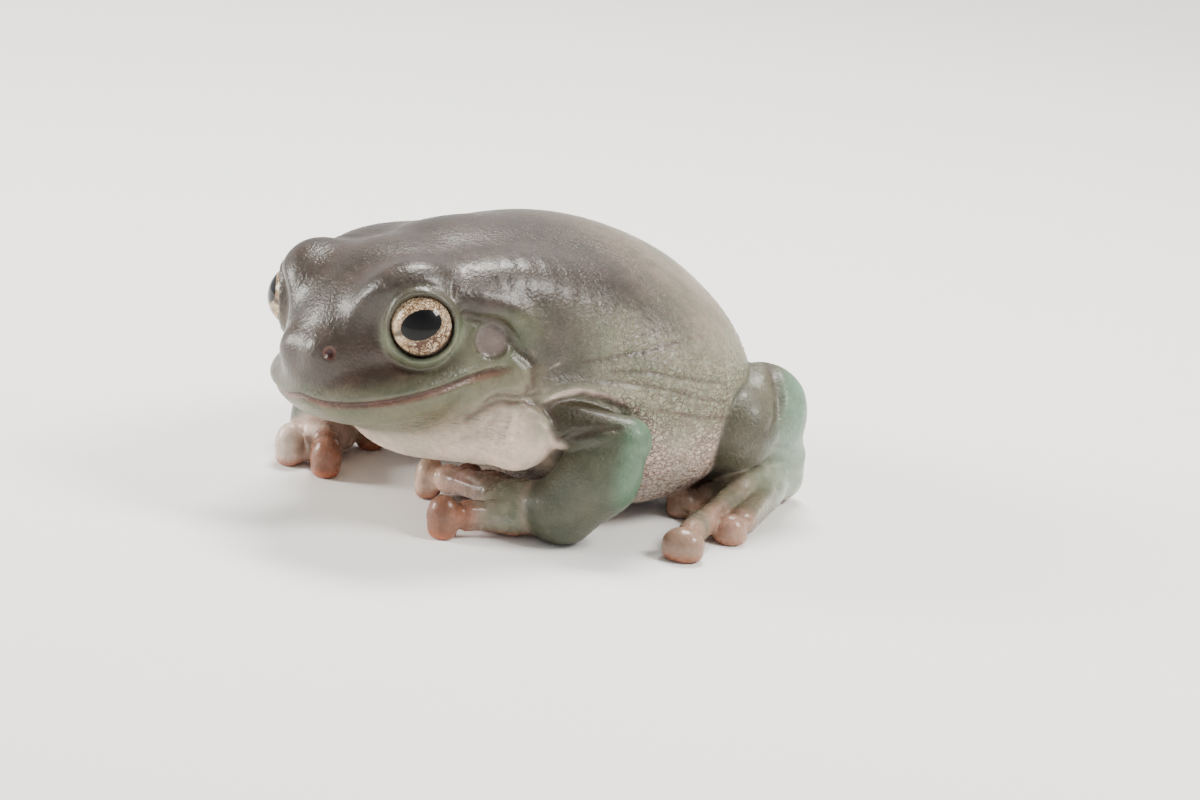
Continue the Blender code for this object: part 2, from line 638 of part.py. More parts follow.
def main():
    clear()
    objects = []
    for name, field in parted().items():
        kind = name.removesuffix("_left").removesuffix("_right")
        obj = mesh_from(field, name)
        lighten(obj, TRIANGLES[kind])
        paint(obj, *SURFACE[kind])
        objects.append(obj)
    for side in (LEFT, RIGHT):
        obj = add_eye(side)
        paint(obj, *SURFACE["eye"])
        objects.append(obj)
    return recentre(objects)


PLACED = main()
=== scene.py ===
"""Dresses the frog's solids: one seamless skin over the flesh, wet eyes, a pale studio and a camera.

The skin is made of the same simple forms as the solids, in millimetres, blended on a finer grid and
then painted. The camera is the photo's.
"""

import json
import math

import bmesh
import bpy
import numpy as np
import openvdb
from mathutils import Euler, Matrix, Vector

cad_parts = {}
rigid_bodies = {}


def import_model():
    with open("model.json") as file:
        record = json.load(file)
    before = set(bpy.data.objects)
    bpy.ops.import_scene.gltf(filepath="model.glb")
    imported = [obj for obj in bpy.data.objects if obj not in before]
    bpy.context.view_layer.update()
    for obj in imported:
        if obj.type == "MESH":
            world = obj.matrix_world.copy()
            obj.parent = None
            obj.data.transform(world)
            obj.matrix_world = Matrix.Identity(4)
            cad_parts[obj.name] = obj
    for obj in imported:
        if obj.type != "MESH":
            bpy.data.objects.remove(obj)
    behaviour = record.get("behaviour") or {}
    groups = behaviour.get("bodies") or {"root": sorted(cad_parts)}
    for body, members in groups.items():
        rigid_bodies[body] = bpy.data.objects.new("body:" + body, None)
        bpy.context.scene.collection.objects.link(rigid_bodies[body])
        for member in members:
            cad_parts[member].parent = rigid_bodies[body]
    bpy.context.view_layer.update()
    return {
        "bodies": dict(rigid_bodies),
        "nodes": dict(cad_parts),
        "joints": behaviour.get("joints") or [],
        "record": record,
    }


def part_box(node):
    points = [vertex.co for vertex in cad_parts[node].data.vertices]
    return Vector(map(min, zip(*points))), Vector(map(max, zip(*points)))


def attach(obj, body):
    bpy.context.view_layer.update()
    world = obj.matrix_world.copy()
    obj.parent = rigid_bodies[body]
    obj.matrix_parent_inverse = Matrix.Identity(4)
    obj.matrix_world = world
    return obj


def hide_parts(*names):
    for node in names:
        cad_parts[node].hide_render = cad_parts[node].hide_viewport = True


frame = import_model()

LEFT, RIGHT = 1, -1
SIDE_NAME = {LEFT: "left", RIGHT: "right"}

# The photo's camera: its turn, height and roll in degrees, its distance in millimetres, its focal length
# in pixels, and a spot of the frog that lies on a given pixel
PHOTO_SIZE = (1200, 800)
SENSOR_WIDTH = 36.0
CAMERA_ANGLES = (44.0, 16.0, 5.0)
CAMERA_DISTANCE = 600.0
CAMERA_FOCAL = 4500.0
CAMERA_AIM = (13.2, 13.7, 31.0)
CAMERA_PIXEL = (422.5, 327.0)

# The studio's lights: how far to the right, above and behind the camera's aim each one stands, its
# distance and size in metres, and its watts
LIGHTS = {
    "overhead": ((0.15, 1.0, -0.15), 0.55, (0.24, 0.14), 5.4),
    "left": ((-0.87, 0.45, 0.05), 0.6, (0.19, 0.23), 5.4),
    "right": ((0.75, 0.6, 0.42), 0.7, (0.2, 0.2), 5.9),
}
LIGHT_AIM = (0.0, 0.0, 0.02)
WARM = (1.0, 0.975, 0.91)
FLOOR_SIZE = 12.0
FLOOR_DARK = (0.90, 0.895, 0.885)
FLOOR_PALE = (0.92, 0.915, 0.905)

# Sizes from here on are in millimetres
MM = 0.001
GAP = 0.05
FAR = 50.0
BLEND_MARGIN = 3.0

# The grid that the forms are blended on
STEP = 0.3
GRID_LOW = (-46.0, -1.0, -1.6)
GRID_HIGH = (46.0, 94.0, 43.5)

# The head's own frame: its origin lies between the corners of the mouth, on the plane of the mouth
HEAD_ORIGIN = (0.0, 25.0, 21.2)
HEAD_PITCH = math.radians(10)
HEAD_ROLL = math.radians(-5)

# Head, in its own frame
EYE_RADIUS = 4.5
EYE_CENTRE = (12.35, -8.3, 10.13)
EYE_LOOK = (0.76, -0.64, 0.10)
EYE_OPENING = 4.05
EARDRUM = (17.3, -0.5, 6.3)
EARDRUM_RADIUS = 2.45
NOSTRIL = (4.6, -18.4, 7.9)
NOSTRIL_RADII = (0.72, 0.72, 0.8)
MOUTH_CORNER = 0.2
MOUTH_DEPTH = 0.6
MOUTH_WIDTH = 0.5
LIP = 0.25

# Limb joints of the left side
SHOULDER, ELBOW = (17.6, 30.2, 17.6), (28.9, 38.6, 15.6)
HIP, KNEE, ANKLE = (10, 66, 12), (27.0, 62.5, 13.6), (24.2, 75.4, 7.0)

# How softly the head joins the torso, the limbs the body, and each limb's pieces one another
HEAD_BLEND = 1.1
ROOT_BLEND = 0.5
LIMB_BLENDS = (("forearm", "upper_arm", 0.5, "hand", 1.6), ("thigh", "shank", 0.4, "foot", 1.2))

# The plane where the head joins the torso: a point on it, and the way it faces
NECK_POINT = (0.0, 28.6, 28.0)
NECK_NORMAL = (0.0, 0.974, -0.226)

# Folds of the skin: curves in the head's frame, then in the frog's, each with its width and height
HEAD_FOLDS = [
    (((15.5, -4.3, 11), (16.4, -2, 9.5), (17.8, 0.8, 8.4), (18.4, 1.7, 6.5), (19, 2.5, 4), (20, 3.6, 2)),
     0.75, -1.15),
    (((14.9, -4.5, 14), (16.6, -1.2, 12), (18.3, 2.1, 10), (19.6, 4.2, 7.6), (20.7, 6, 4), (21.6, 6.6, 1)),
     1.8, 1.1),
    (((19.2, 2.5, 4.1), (20.2, 3.6, 2.4), (20.9, 2.9, -0.5), (21.0, 2.0, -2.2), (20.7, 1.1, -2.8)),
     0.6, -0.7),
    (((20.4, 0.2, -2.2), (18.9, -1.4, -1.8), (17.3, -3.6, -2.6), (15.6, -5.4, -4.0)), 0.6, -0.6),
    (((19.0, -1.2, -0.8), (20.3, 0.7, -1.6), (21.2, 3.1, -2.5), (22.2, 5.4, -1.6)), 0.6, -0.5),
    (((19.6, -0.3, -2.2), (20.8, 1.4, -3.9), (21.7, 2.9, -5.8), (23.0, 4.0, -7.6)), 0.5, 0.4),
]
BODY_FOLDS = [
    (((20.8, 26.6, 20.8), (21.8, 29.4, 20.2), (23, 33.8, 21), (24.6, 37, 20.6), (26.5, 40.2, 19.4)),
     0.7, -0.8),
    (((21.6, 29, 22), (23, 33.8, 22.6), (24.6, 37, 22), (26.7, 40.4, 21), (28.2, 43, 19), (28.8, 45, 16)),
     1.2, 0.7),
    (((21.4, 28.4, 20.6), (22, 30.4, 18.6), (22.2, 32.4, 16.4)), 0.7, -0.6),
]

# Folds along the digits, in the left side's coordinates
FOOT_FOLDS = [
    (((28.2, 64.7, 6.4), (28.0, 61.0, 5.5), (30.4, 56.5, 5.0), (32.5, 53.2, 4.6)), 0.7, 0.35),
    (((28.2, 67.8, 6.3), (29.9, 64.5, 5.2), (31.1, 59.7, 4.4), (32.5, 56, 3.9), (33.8, 52.4, 3.6)),
     0.55, -0.5),
    (((28.1, 69.7, 6.3), (30.2, 67.3, 4.6), (33.2, 62.0, 3.9), (34.6, 58.1, 2.8)), 0.6, 0.35),
]
HAND_FOLDS = [
    (((13.6, 22.8, 4.9), (14.6, 24.6, 4.9), (15.8, 27.0, 4.6)), 0.45, -0.3),
    (((14.8, 22.4, 3.9), (15.6, 24.4, 3.5), (16.6, 26.6, 3.2)), 0.45, -0.3),
    (((1.3, 31.0, 5.0), (4.7, 31.1, 5.1), (9.2, 30.7, 5.0)), 0.45, -0.3),
]

# Colours of the skin
BACK = (0.047, 0.035, 0.029)
# The rear back's own paler grey, with painted light in it
BACK_REAR_TINT_AND_LIGHT = (0.33, 0.29, 0.225)
FLANK = (0.3, 0.31, 0.22)
BELLY = (0.74, 0.6, 0.53)
THROAT = (0.65, 0.53, 0.45)
# The heel's own turquoise, with a painted highlight in it
HEEL_TINT_AND_HIGHLIGHT = (0.3, 0.38, 0.3)
PALM = (0.17, 0.185, 0.135)
SHOULDER_SHADE = (0.036, 0.025, 0.021)
SNOUT_SIDE = (0.05, 0.029, 0.02)
CHEEK = (0.1, 0.112, 0.063)
JAW = (0.112, 0.11, 0.064)
LIP_BAND = (0.12, 0.125, 0.085)
LIP_PINK = (0.22, 0.10, 0.078)
MOUTH = (0.06, 0.018, 0.014)
NOSTRIL_RIM = (0.17, 0.05, 0.035)
NOSTRIL_HOLE = (0.04, 0.006, 0.005)
DRUM = (0.12, 0.09, 0.088)
DRUM_RIM = (0.04, 0.028, 0.02)
LID_GREEN = (0.16, 0.19, 0.125)
LID_EDGE = (0.015, 0.01, 0.008)
UPPER_ARM = (0.03, 0.025, 0.01)
FOREARM = (0.066, 0.074, 0.048)
MINT = (0.095, 0.19, 0.12)
MINT_PALE = (0.16, 0.30, 0.215)
THIGH = (0.045, 0.045, 0.034)
SHANK = (0.1, 0.097, 0.066)
HAND = (0.3, 0.2, 0.165)
FOOT = (0.2, 0.17, 0.12)
PAD = (0.54, 0.37, 0.29)
# Paler pad: partly its own paler tone, partly painted light on its upward face
PAD_PALE_LIT = (0.64, 0.50, 0.44)
# Browner pad: partly its own tone, partly painted shade where it lies under the throat and the body
PAD_BROWN_SHADED = (0.19, 0.072, 0.04)
PAD_TOE = (0.33, 0.195, 0.145)
PAD_UNDER = (0.40, 0.12, 0.055)
# Painted shade for the grooves of the folds
CREASE_SHADE = (0.045, 0.027, 0.018)
SEAM = (0.095, 0.052, 0.04)
PALE_SPECK = (0.42, 0.40, 0.34)
FRECKLE = (0.30, 0.13, 0.09)

# How green the skin is below each eye
LID_GREENNESS = {LEFT: 0.65, RIGHT: 0.15}

# The rise of the cobbles, and the numbers that scatter them
COBBLE_RISE = 0.2
SCATTER = (73856093, 19349663, 83492791)

# Folds round the eye: angles, radius, height over the eye's middle, width, and rise
LID_FOLDS = [
    ((-170, -15), 6.1, 1.2, 0.5, -0.3),
    ((-175, -20), 5.5, 1.6, 0.7, 0.3),
    ((25, 165), 5.7, 1.4, 0.4, -0.25),
]

# Small folds laid on the whole skin: curves in the frog's coordinates, width and rise
SMALL_FOLDS = [
    (((23.8, 70.8, 21.1), (28.2, 68.1, 20.3), (30.5, 66.8, 18.1), (32, 65.3, 15.8), (33, 62.4, 14.2)),
     0.8, -1.3),
    (((7.1, 16.7, 14.3), (11.3, 18.3, 15.7), (14.5, 19.8, 17.5), (16.6, 21.4, 19.4)), 0.5, -0.3),
    (((10.5, 21.3, 12.2), (14.8, 21.6, 14.5), (17.7, 22.4, 16.8), (19.2, 23.5, 19.3)), 0.5, -0.35),
    (((20.4, 25.0, 19.7), (20.5, 24.5, 17.7), (20.1, 24.1, 15.5), (19.4, 23.9, 14.2)), 0.45, 0.55),
    (((21.2, 26.0, 20.1), (22.2, 27.5, 19.1), (22.9, 29.7, 17.4), (24.2, 30.9, 15.9)), 0.5, 0.6),
    (((17.5, 22.1, 20.3), (18.6, 23.3, 21.4), (20.3, 26.2, 21.2), (21.3, 28.9, 21.8)), 0.5, -0.6),
    (((22.7, 35.2, 25.7), (24.0, 38.5, 26.1), (25.0, 41.7, 26.6), (25.8, 45.9, 27.1), (26.1, 50.4, 27.6)),
     0.32, -0.2),
    (((23.4, 34.8, 23.2), (24.8, 38.1, 23.1), (28.0, 45.1, 22.0), (29.5, 51.6, 20.0), (29.4, 57.4, 18.6)),
     0.32, -0.22),
    (((24.7, 38.8, 24.4), (26.9, 44.0, 24.1), (28.7, 50.1, 22.7), (28.8, 57.2, 21.1)), 0.32, -0.2),
    (((28.4, 44.0, 19.4), (29.4, 48.1, 18.2), (29.9, 52.6, 17.2), (29.6, 57.6, 16.3)), 0.32, -0.2),
    (((23.8, 30.8, 15.4), (26.1, 32.2, 16.8), (27.9, 34.1, 17.6), (29.7, 36.1, 18.1)), 0.45, -1.0),
    (((31.1, 59.2, 10.6), (32.6, 60.9, 12.0), (31.8, 65.5, 11.3), (28.7, 73.3, 8.7)), 0.7, -0.35),
]

# Pupil and iris: where each eye looks, and places and sizes across the eye's middle
PUPIL_LOOK = {LEFT: (0.71, -0.635, 0.285), RIGHT: (0.6, -0.67, 0.44)}
PUPIL = (2.85, 2.0)
PUPIL_TILT = math.radians(13)
IRIS_EDGE = 4.12
TEAR_PLACE, TEAR_RADII = (-3.1, -0.05), (1.05, 0.45)
GOLD_DARK = (0.50, 0.35, 0.20)
GOLD_PALE = (0.84, 0.68, 0.47)
IRIS_VEIN = (0.05, 0.025, 0.016)
IRIS_NET = (0.07, 0.028, 0.016)
IRIS_SPECK = (0.11, 0.055, 0.035)
IRIS_RIM = (0.022, 0.014, 0.011)
TEAR = (0.03, 0.022, 0.02)
PUPIL_RIM = (0.12, 0.075, 0.05)
PUPIL_BLACK = (0.003, 0.003, 0.004)

WRIST_LEFT = (18.5, 33.0, 4.0)

# Ends of the fingers and toes, in the frog's coordinates, and their colours
TIPS = [
    ((12.4, 21.0, 3.0), PAD_BROWN_SHADED),
    ((-2.2, 31.8, 3.0), PAD),
    ((0.0, 37.4, 2.4), PAD_BROWN_SHADED),
    ((9.5, 43.0, 1.9), PAD_BROWN_SHADED),
    ((-23.8, 24.6, 3.0), PAD_PALE_LIT),
    ((-17.0, 25.6, 2.8), PAD_BROWN_SHADED),
    ((-23.6, 40.2, 2.0), PAD_BROWN_SHADED),
    ((-29.6, 41.8, 1.9), PAD_BROWN_SHADED),
]
for x, y, z in ((36.4, 43.6, 2.2), (34.6, 54.8, 2.0), (22.6, 57.6, 2.0), (18.6, 62.0, 1.9)):
    TIPS += [((x, y, z), PAD_TOE), ((-x, y, z), PAD_TOE)]


class Frame:
    """A place and a turn. Shapes given in a frame's own coordinates are moved to the frog's."""

    def __init__(self, origin=(0, 0, 0), turn=(0, 0, 0), side=LEFT):
        self.origin = np.array(origin, float)
        self.matrix = np.array(Euler(turn, "XYZ").to_matrix(), float)
        self.matrix[:, 0] *= side

    def out(self, points):
        return np.atleast_2d(points) @ self.matrix.T + self.origin

    def inward(self, x, y, z):
        """The coordinates of grid points in this frame."""
        p = (x - self.origin[0], y - self.origin[1], z - self.origin[2])
        return [sum(self.matrix[i, j] * p[i] for i in range(3)) for j in range(3)]


WORLD = Frame()


def head_frame(side=LEFT):
    """The head's frame. A side of RIGHT mirrors what is placed in it."""
    return Frame(HEAD_ORIGIN, (HEAD_PITCH, HEAD_ROLL, 0), side)


def unit(vector):
    return np.array(vector) / np.linalg.norm(vector)


def between(pair, share):
    return pair[0] * (1 - share) + pair[1] * share


def soft(value, low, high):
    """Rises smoothly from 0 to 1 between two values."""
    share = np.clip((value - low) / (high - low), 0, 1)
    return share * share * (3 - 2 * share)


def fade(value, low, high):
    return 1 - soft(value, low, high)


def bump(value, centre, width):
    return np.exp(-(((value - centre) / width) ** 2))


def away_from(points, spot):
    return np.linalg.norm(points - spot, axis=1)


def smooth_min(a, b, blend):
    """The lower of two distances, with a fillet of the blend's size where they cross."""
    if blend <= 0:
        return np.minimum(a, b)
    share = np.clip(0.5 + 0.5 * (b - a) / blend, 0, 1)
    return b + (a - b) * share - blend * share * (1 - share)


class Ellipsoid:
    def __init__(self, centre, radii, turn=(0, 0, 0), frame=WORLD):
        self.radii = np.array(radii, float)
        local = np.array(Euler([math.radians(a) for a in turn], "XYZ").to_matrix(), float)
        self.matrix = frame.matrix @ local
        self.centre = frame.out(centre)[0]
        reach = np.sqrt((self.matrix**2) @ (self.radii**2))
        self.low, self.high = self.centre - reach, self.centre + reach

    def distance(self, x, y, z):
        p = (x - self.centre[0], y - self.centre[1], z - self.centre[2])
        q = [sum(self.matrix[i, j] * p[i] for i in range(3)) / self.radii[j] for j in range(3)]
        near = np.sqrt(q[0] ** 2 + q[1] ** 2 + q[2] ** 2) + 1e-6
        slope = np.sqrt(sum((q[j] / self.radii[j]) ** 2 for j in range(3))) + 1e-6
        return near * (near - 1) / slope


class Limb:
    """A chain of tapering round rods through the given points."""

    def __init__(self, points, radii, frame=WORLD, blend=0.0):
        self.points = frame.out(points)
        self.radii = np.broadcast_to(np.array(radii, float), len(self.points))
        self.blend = blend
        self.low = (self.points - self.radii[:, None]).min(0)
        self.high = (self.points + self.radii[:, None]).max(0)

    def distance(self, x, y, z):
        found = None
        for a, b, ra, rb in zip(self.points, self.points[1:], self.radii, self.radii[1:]):
            run = b - a
            p = (x - a[0], y - a[1], z - a[2])
            share = np.clip((p[0] * run[0] + p[1] * run[1] + p[2] * run[2]) / (run @ run), 0, 1)
            off = [p[i] - share * run[i] for i in range(3)]
            part = np.sqrt(off[0] ** 2 + off[1] ** 2 + off[2] ** 2) - (ra + (rb - ra) * share)
            found = part if found is None else smooth_min(found, part, self.blend)
        return found


class Clay:
    """A form as distances to its surface on a grid, in millimetres, negative inside."""

    def __init__(self):
        self.low = np.array(GRID_LOW, float)
        counts = np.ceil((np.array(GRID_HIGH) - self.low) / STEP).astype(int) + 1
        self.axes = [self.low[i] + STEP * np.arange(counts[i]) for i in range(3)]
        self.field = np.full(counts, FAR, np.float32)

    def window(self, low, high):
        """The block of the grid that holds a box: its slices, and its coordinates ready to broadcast."""
        cut = []
        for i in range(3):
            first = int(np.clip((low[i] - self.low[i]) / STEP, 0, len(self.axes[i]) - 2))
            last = int(np.clip((high[i] - self.low[i]) / STEP + 2, 1, len(self.axes[i])))
            cut.append(slice(first, max(last, first + 1)))
        x, y, z = (self.axes[i][cut[i]].astype(np.float32) for i in range(3))
        return tuple(cut), (x[:, None, None], y[None, :, None], z[None, None, :])

    def add(self, shape, blend=1.0, sign=1):
        """Blends a shape on, or takes it away where the sign is -1."""
        margin = blend + BLEND_MARGIN
        cut, place = self.window(shape.low - margin, shape.high + margin)
        self.field[cut] = sign * smooth_min(sign * self.field[cut], shape.distance(*place), blend)

    def carve(self, shape, blend=0.5):
        self.add(shape, blend, sign=-1)

    def value(self, points):
        """The distance and its slope at the given points, read between the grid's own."""
        at = (points - self.low) / STEP
        base = np.clip(np.floor(at).astype(int), 0, np.array(self.field.shape) - 2)
        x, y, z = (at - base).T
        corner = np.zeros((2, 2, 2, len(points)))
        for spot in np.ndindex(2, 2, 2):
            corner[spot] = self.field[tuple((base + spot).T)]
        in_x = between(corner, x)
        in_y = between(in_x, y)
        slope_x = between(between(corner[1] - corner[0], y), z)
        slope_y = between(in_x[1] - in_x[0], z)
        return between(in_y, z), np.stack([slope_x, slope_y, in_y[1] - in_y[0]], 1) / STEP

    def settle(self, points, rounds=8):
        """The points moved onto the surface, along the field's slope."""
        points = np.array(points, float)
        for _ in range(rounds):
            found, slope = self.value(points)
            points = points - 0.8 * found[:, None] * slope / (np.sum(slope**2, 1)[:, None] + 0.05)
        return points

    def trace(self, points, width, height, frame=WORLD):
        """A ridge, or a groove where the height is negative, along a curve laid on the surface."""
        path = self.settle(smooth_path(frame.out(points), 0.6))
        reach = 2.6 * width
        cut, place = self.window(path.min(0) - reach, path.max(0) + reach)
        near = np.full(self.field[cut].shape, FAR, np.float32)
        share = np.zeros_like(near)
        for i, (a, b) in enumerate(zip(path, path[1:])):
            run = b - a
            inner, spot = self.window(np.minimum(a, b) - reach, np.maximum(a, b) + reach)
            local = tuple(slice(s.start - c.start, s.stop - c.start) for s, c in zip(inner, cut))
            p = [spot[k] - a[k] for k in range(3)]
            along = np.clip(sum(p[k] * run[k] for k in range(3)) / (run @ run + 1e-9), 0, 1)
            d = np.sqrt(sum((p[k] - along * run[k]) ** 2 for k in range(3)))
            closer = d < near[local]
            near[local] = np.where(closer, d, near[local])
            share[local] = np.where(closer, (i + along) / (len(path) - 1), share[local])
        taper = np.sqrt(np.abs(np.sin(np.pi * np.clip(share, 0, 1))))
        self.field[cut] -= height * taper * bump(near, 0, width)


def smooth_path(points, spacing):
    """A Catmull-Rom curve through the points, sampled evenly."""
    points = np.array(points, float)
    padded = np.vstack([2 * points[0] - points[1], points, 2 * points[-1] - points[-2]])
    found = []
    for a, b, c, d in zip(padded, padded[1:], padded[2:], padded[3:]):
        count = max(2, int(np.linalg.norm(c - b) / spacing))
        for t in np.linspace(0, 1, count, endpoint=False):
            bend = (2 * a - 5 * b + 4 * c - d) * t**2 + (3 * b - a - 3 * c + d) * t**3
            found.append(0.5 * (2 * b + (c - a) * t + bend))
    found.append(points[-1])
    return np.array(found)


# How far the solids stand from these coordinates
EYE_MIDDLE = [(a + b) / 2 / MM for a, b in zip(*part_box("eye_left"))]
PLACED = np.array(EYE_MIDDLE) - head_frame(LEFT).out([EYE_CENTRE])[0]


def lay_folds(clay, folds, frame):
    for points, width, height in folds:
        clay.trace(points, width, height, frame)


def model_torso(clay):
    clay.add(Ellipsoid((0, 49.5, 20.2), (27.3, 25.6, 18.9), turn=(-7, 0, 0)))
    clay.add(Ellipsoid((0, 55, 12.3), (18.5, 18.0, 12.6)), 6)
    clay.add(Ellipsoid((0, 34, 21.5), (19.5, 18.5, 16.4)), 7)
    clay.add(Ellipsoid((0, 62.6, 18.2), (18.2, 12.6, 12.4)), 7)
    clay.add(Ellipsoid((0, 33, 16.5), (13, 14, 8.6)), 4)
    clay.add(Ellipsoid((0, 29, 26.4), (14.5, 16.5, 12.6), turn=(6, 0, 0)), 6)
    for side in (LEFT, RIGHT):
        clay.add(Ellipsoid((side * 14.5, 54.0, 15.7), (15.0, 17.6, 14.1)), 6)
        clay.add(Ellipsoid((side * 12.5, 30, 19), (8.2, 9.0, 8.5)), 5)
        clay.add(Ellipsoid((side * 18.2, 28.4, 15.2), (4.2, 4.4, 5.0)), 3)
        ridge = smooth_path([(11.5, -1.5, 11.6), (13.0, 3.5, 10.6), (14.6, 9.5, 8.2), (15.5, 16, 4)], 2)
        clay.add(Limb(ridge, np.linspace(4.4, 7.0, len(ridge)), head_frame(side)), 5)
    clay.carve(Ellipsoid((0, 31, -3.6), (40, 13.5, 12.8)), 4)


def model_head(clay):
    middle = head_frame()
    clay.add(Ellipsoid((0, -2.5, 7.6), (14.8, 14.2, 10.7), frame=middle), 4)
    clay.add(Ellipsoid((0, -11.8, 6.0), (7.6, 8.8, 6.2), turn=(12, 0, 0), frame=middle), 4)
    clay.add(Ellipsoid((0, -4.0, 1.9), (16.1, 16.2, 4.2), frame=middle), 2.5)
    clay.add(Ellipsoid((0, -4.6, 0.2), (15.7, 15.2, 6.5), turn=(-4, 0, 0), frame=middle), 1.5)
    clay.add(Ellipsoid((0, 2.0, -3.2), (15.2, 13.0, 7.4), turn=(-8, 0, 0), frame=middle), 4)
    for side in (LEFT, RIGHT):
        frame = head_frame(side)
        clay.add(Ellipsoid((9.5, -7.2, 12.5), (4.8, 7.3, 5.8), turn=(0, 12, -24), frame=frame), 3.5)
        clay.add(Ellipsoid((11.8, -0.5, 4.4), (4.5, 7.0, 4.8), frame=frame), 3)
        clay.carve(Ellipsoid((13.9, -18.1, 12.0), (7.1, 7.3, 6.0), frame=frame), 1.6)
        clay.add(Ellipsoid((2.4, -17.6, 7.4), (2.6, 2.4, 2.3), frame=frame), 2)


def model_face(clay):
    look = unit(EYE_LOOK)
    centre = np.array(EYE_CENTRE)
    for side in (LEFT, RIGHT):
        frame = head_frame(side)
        clay.add(Ellipsoid(centre, [EYE_RADIUS + 0.6] * 3, frame=frame), 1.2)
        clay.carve(Ellipsoid(centre, [EYE_RADIUS + GAP] * 3, frame=frame), 0.1)
        opening = [centre + look * 1.9, centre + look * 5.5]
        clay.carve(Limb(opening, [EYE_OPENING, EYE_OPENING + 6.2], frame), 0.3)
        ring(clay, frame.out([centre + look * 1.6])[0], EYE_OPENING + 0.75, 0.4, 0.2)
        clay.carve(Ellipsoid(clay.settle(frame.out([NOSTRIL]))[0], NOSTRIL_RADII), 0.4)
        drum_disc(clay, clay.settle(frame.out([EARDRUM]))[0])
    mouth_line(clay)


def ring(clay, centre, radius, width, height):
    """A raised rim round a spot on the surface."""
    reach = radius + 3 * width
    cut, place = clay.window(centre - reach, centre + reach)
    away = np.sqrt(sum((place[k] - centre[k]) ** 2 for k in range(3)))
    clay.field[cut] -= height * bump(away, radius, width)


def drum_disc(clay, centre):
    """The eardrum: a flat round patch, a little sunk, with a soft rim."""
    reach = EARDRUM_RADIUS + 2.5
    slope = unit(clay.value(centre[None])[1][0])
    cut, place = clay.window(centre - reach, centre + reach)
    away = [place[k] - centre[k] for k in range(3)]
    rise = sum(away[k] * slope[k] for k in range(3))
    radius = np.sqrt(np.maximum(sum(a**2 for a in away) - rise**2, 0))
    share = 1 / (1 + np.exp((radius - EARDRUM_RADIUS) / 0.3))
    share = share * np.clip(2.5 - np.abs(rise), 0, 1)
    clay.field[cut] += share * (rise + 0.25 - clay.field[cut])
    ring(clay, centre, EARDRUM_RADIUS + 0.3, 0.45, 0.25)


def mouth_line(clay):
    """The slit between the jaws, curving up to its corners, with a soft lip over it."""
    frame = head_frame()
    low, high = frame.out([(-20, -24, -6)])[0] - 6, frame.out([(20, 4, 8)])[0] + 6
    cut, place = clay.window(low, high)
    x, y, z = frame.inward(*place)
    end = 1 / (1 + np.exp((y - MOUTH_CORNER) / 0.4))
    above = z - mouth_level(x, y)
    clay.field[cut] += end * (MOUTH_DEPTH * bump(above, 0, MOUTH_WIDTH) - LIP * bump(above, 0.9, 0.6))


def mouth_level(x, y):
    """The height of the mouth's line: it rises at the middle of the lip and to the corners."""
    return 0.9 + 0.07 * (y + 19) + 0.9 * np.exp(-((x / 3) ** 2))


def model_upper_arm(clay, side):
    clay.add(Limb([SHOULDER, ELBOW], [3.6, 3.3], Frame(side=side)))


def model_forearm(clay, side):
    low = (22.4, 34.0, 4.75) if side == LEFT else (27.5, 34.5, 4.75)
    middle = 0.5 * (np.array(ELBOW) + low) + (0.6, 0.4, 0.2)
    clay.add(Limb([ELBOW, middle, low], [3.3, 5.1, 4.9], Frame(side=side), 2.5))


def model_digit(clay, frame, points, radii, pad_radii, heading):
    """A finger or toe: a tapering rod with a groove at each joint, and a pad pressed flat at its tip."""
    clay.add(Limb(smooth_path(points, 1.5), spread(radii, points), frame), 0.5)
    pad = Ellipsoid(points[-1], pad_radii, turn=(0, 0, heading), frame=frame)
    clay.add(pad, 0.4)
    sole = (points[-1][0], points[-1][1], 0.9)
    share = min(1, 1.35 - 0.18 * pad_radii[2])
    sole_radii = (pad_radii[0] * share, pad_radii[1] * share, 1.1)
    clay.add(Ellipsoid(sole, sole_radii, turn=(0, 0, heading), frame=frame), 0.9)
    placed = frame.out(points)
    for before, joint in zip(placed, placed[1:-1]):
        groove_round(clay, joint, unit(joint - before), 0.08)
    run = unit(placed[-1] - placed[-2])
    length = np.linalg.norm((run @ pad.matrix) * pad.radii)
    groove_round(clay, placed[-1] - run * (length + 0.3), run, 0.32)


def spread(radii, points):
    """The radii at the points of a smoothed path."""
    path = smooth_path(points, 1.5)
    return np.interp(np.linspace(0, 1, len(path)), np.linspace(0, 1, len(radii)), radii)


def groove_round(clay, spot, run, depth, width=0.5, reach=3.2):
    """A groove round a digit, where the plane through a spot crosses it."""
    cut, place = clay.window(spot - reach, spot + reach)
    away = [place[k] - spot[k] for k in range(3)]
    along = sum(away[k] * run[k] for k in range(3))
    off = np.sqrt(np.maximum(sum(a**2 for a in away) - along**2, 0))
    clay.field[cut] += depth * np.clip(reach - off, 0, 1) * bump(along, 0, width)


def web(clay, frame, centre, length, width, heading):
    """A thin web between two digits, flat on the floor."""
    clay.add(Ellipsoid(centre, (width, length, 1.1), turn=(0, 0, heading), frame=frame), 1.2)


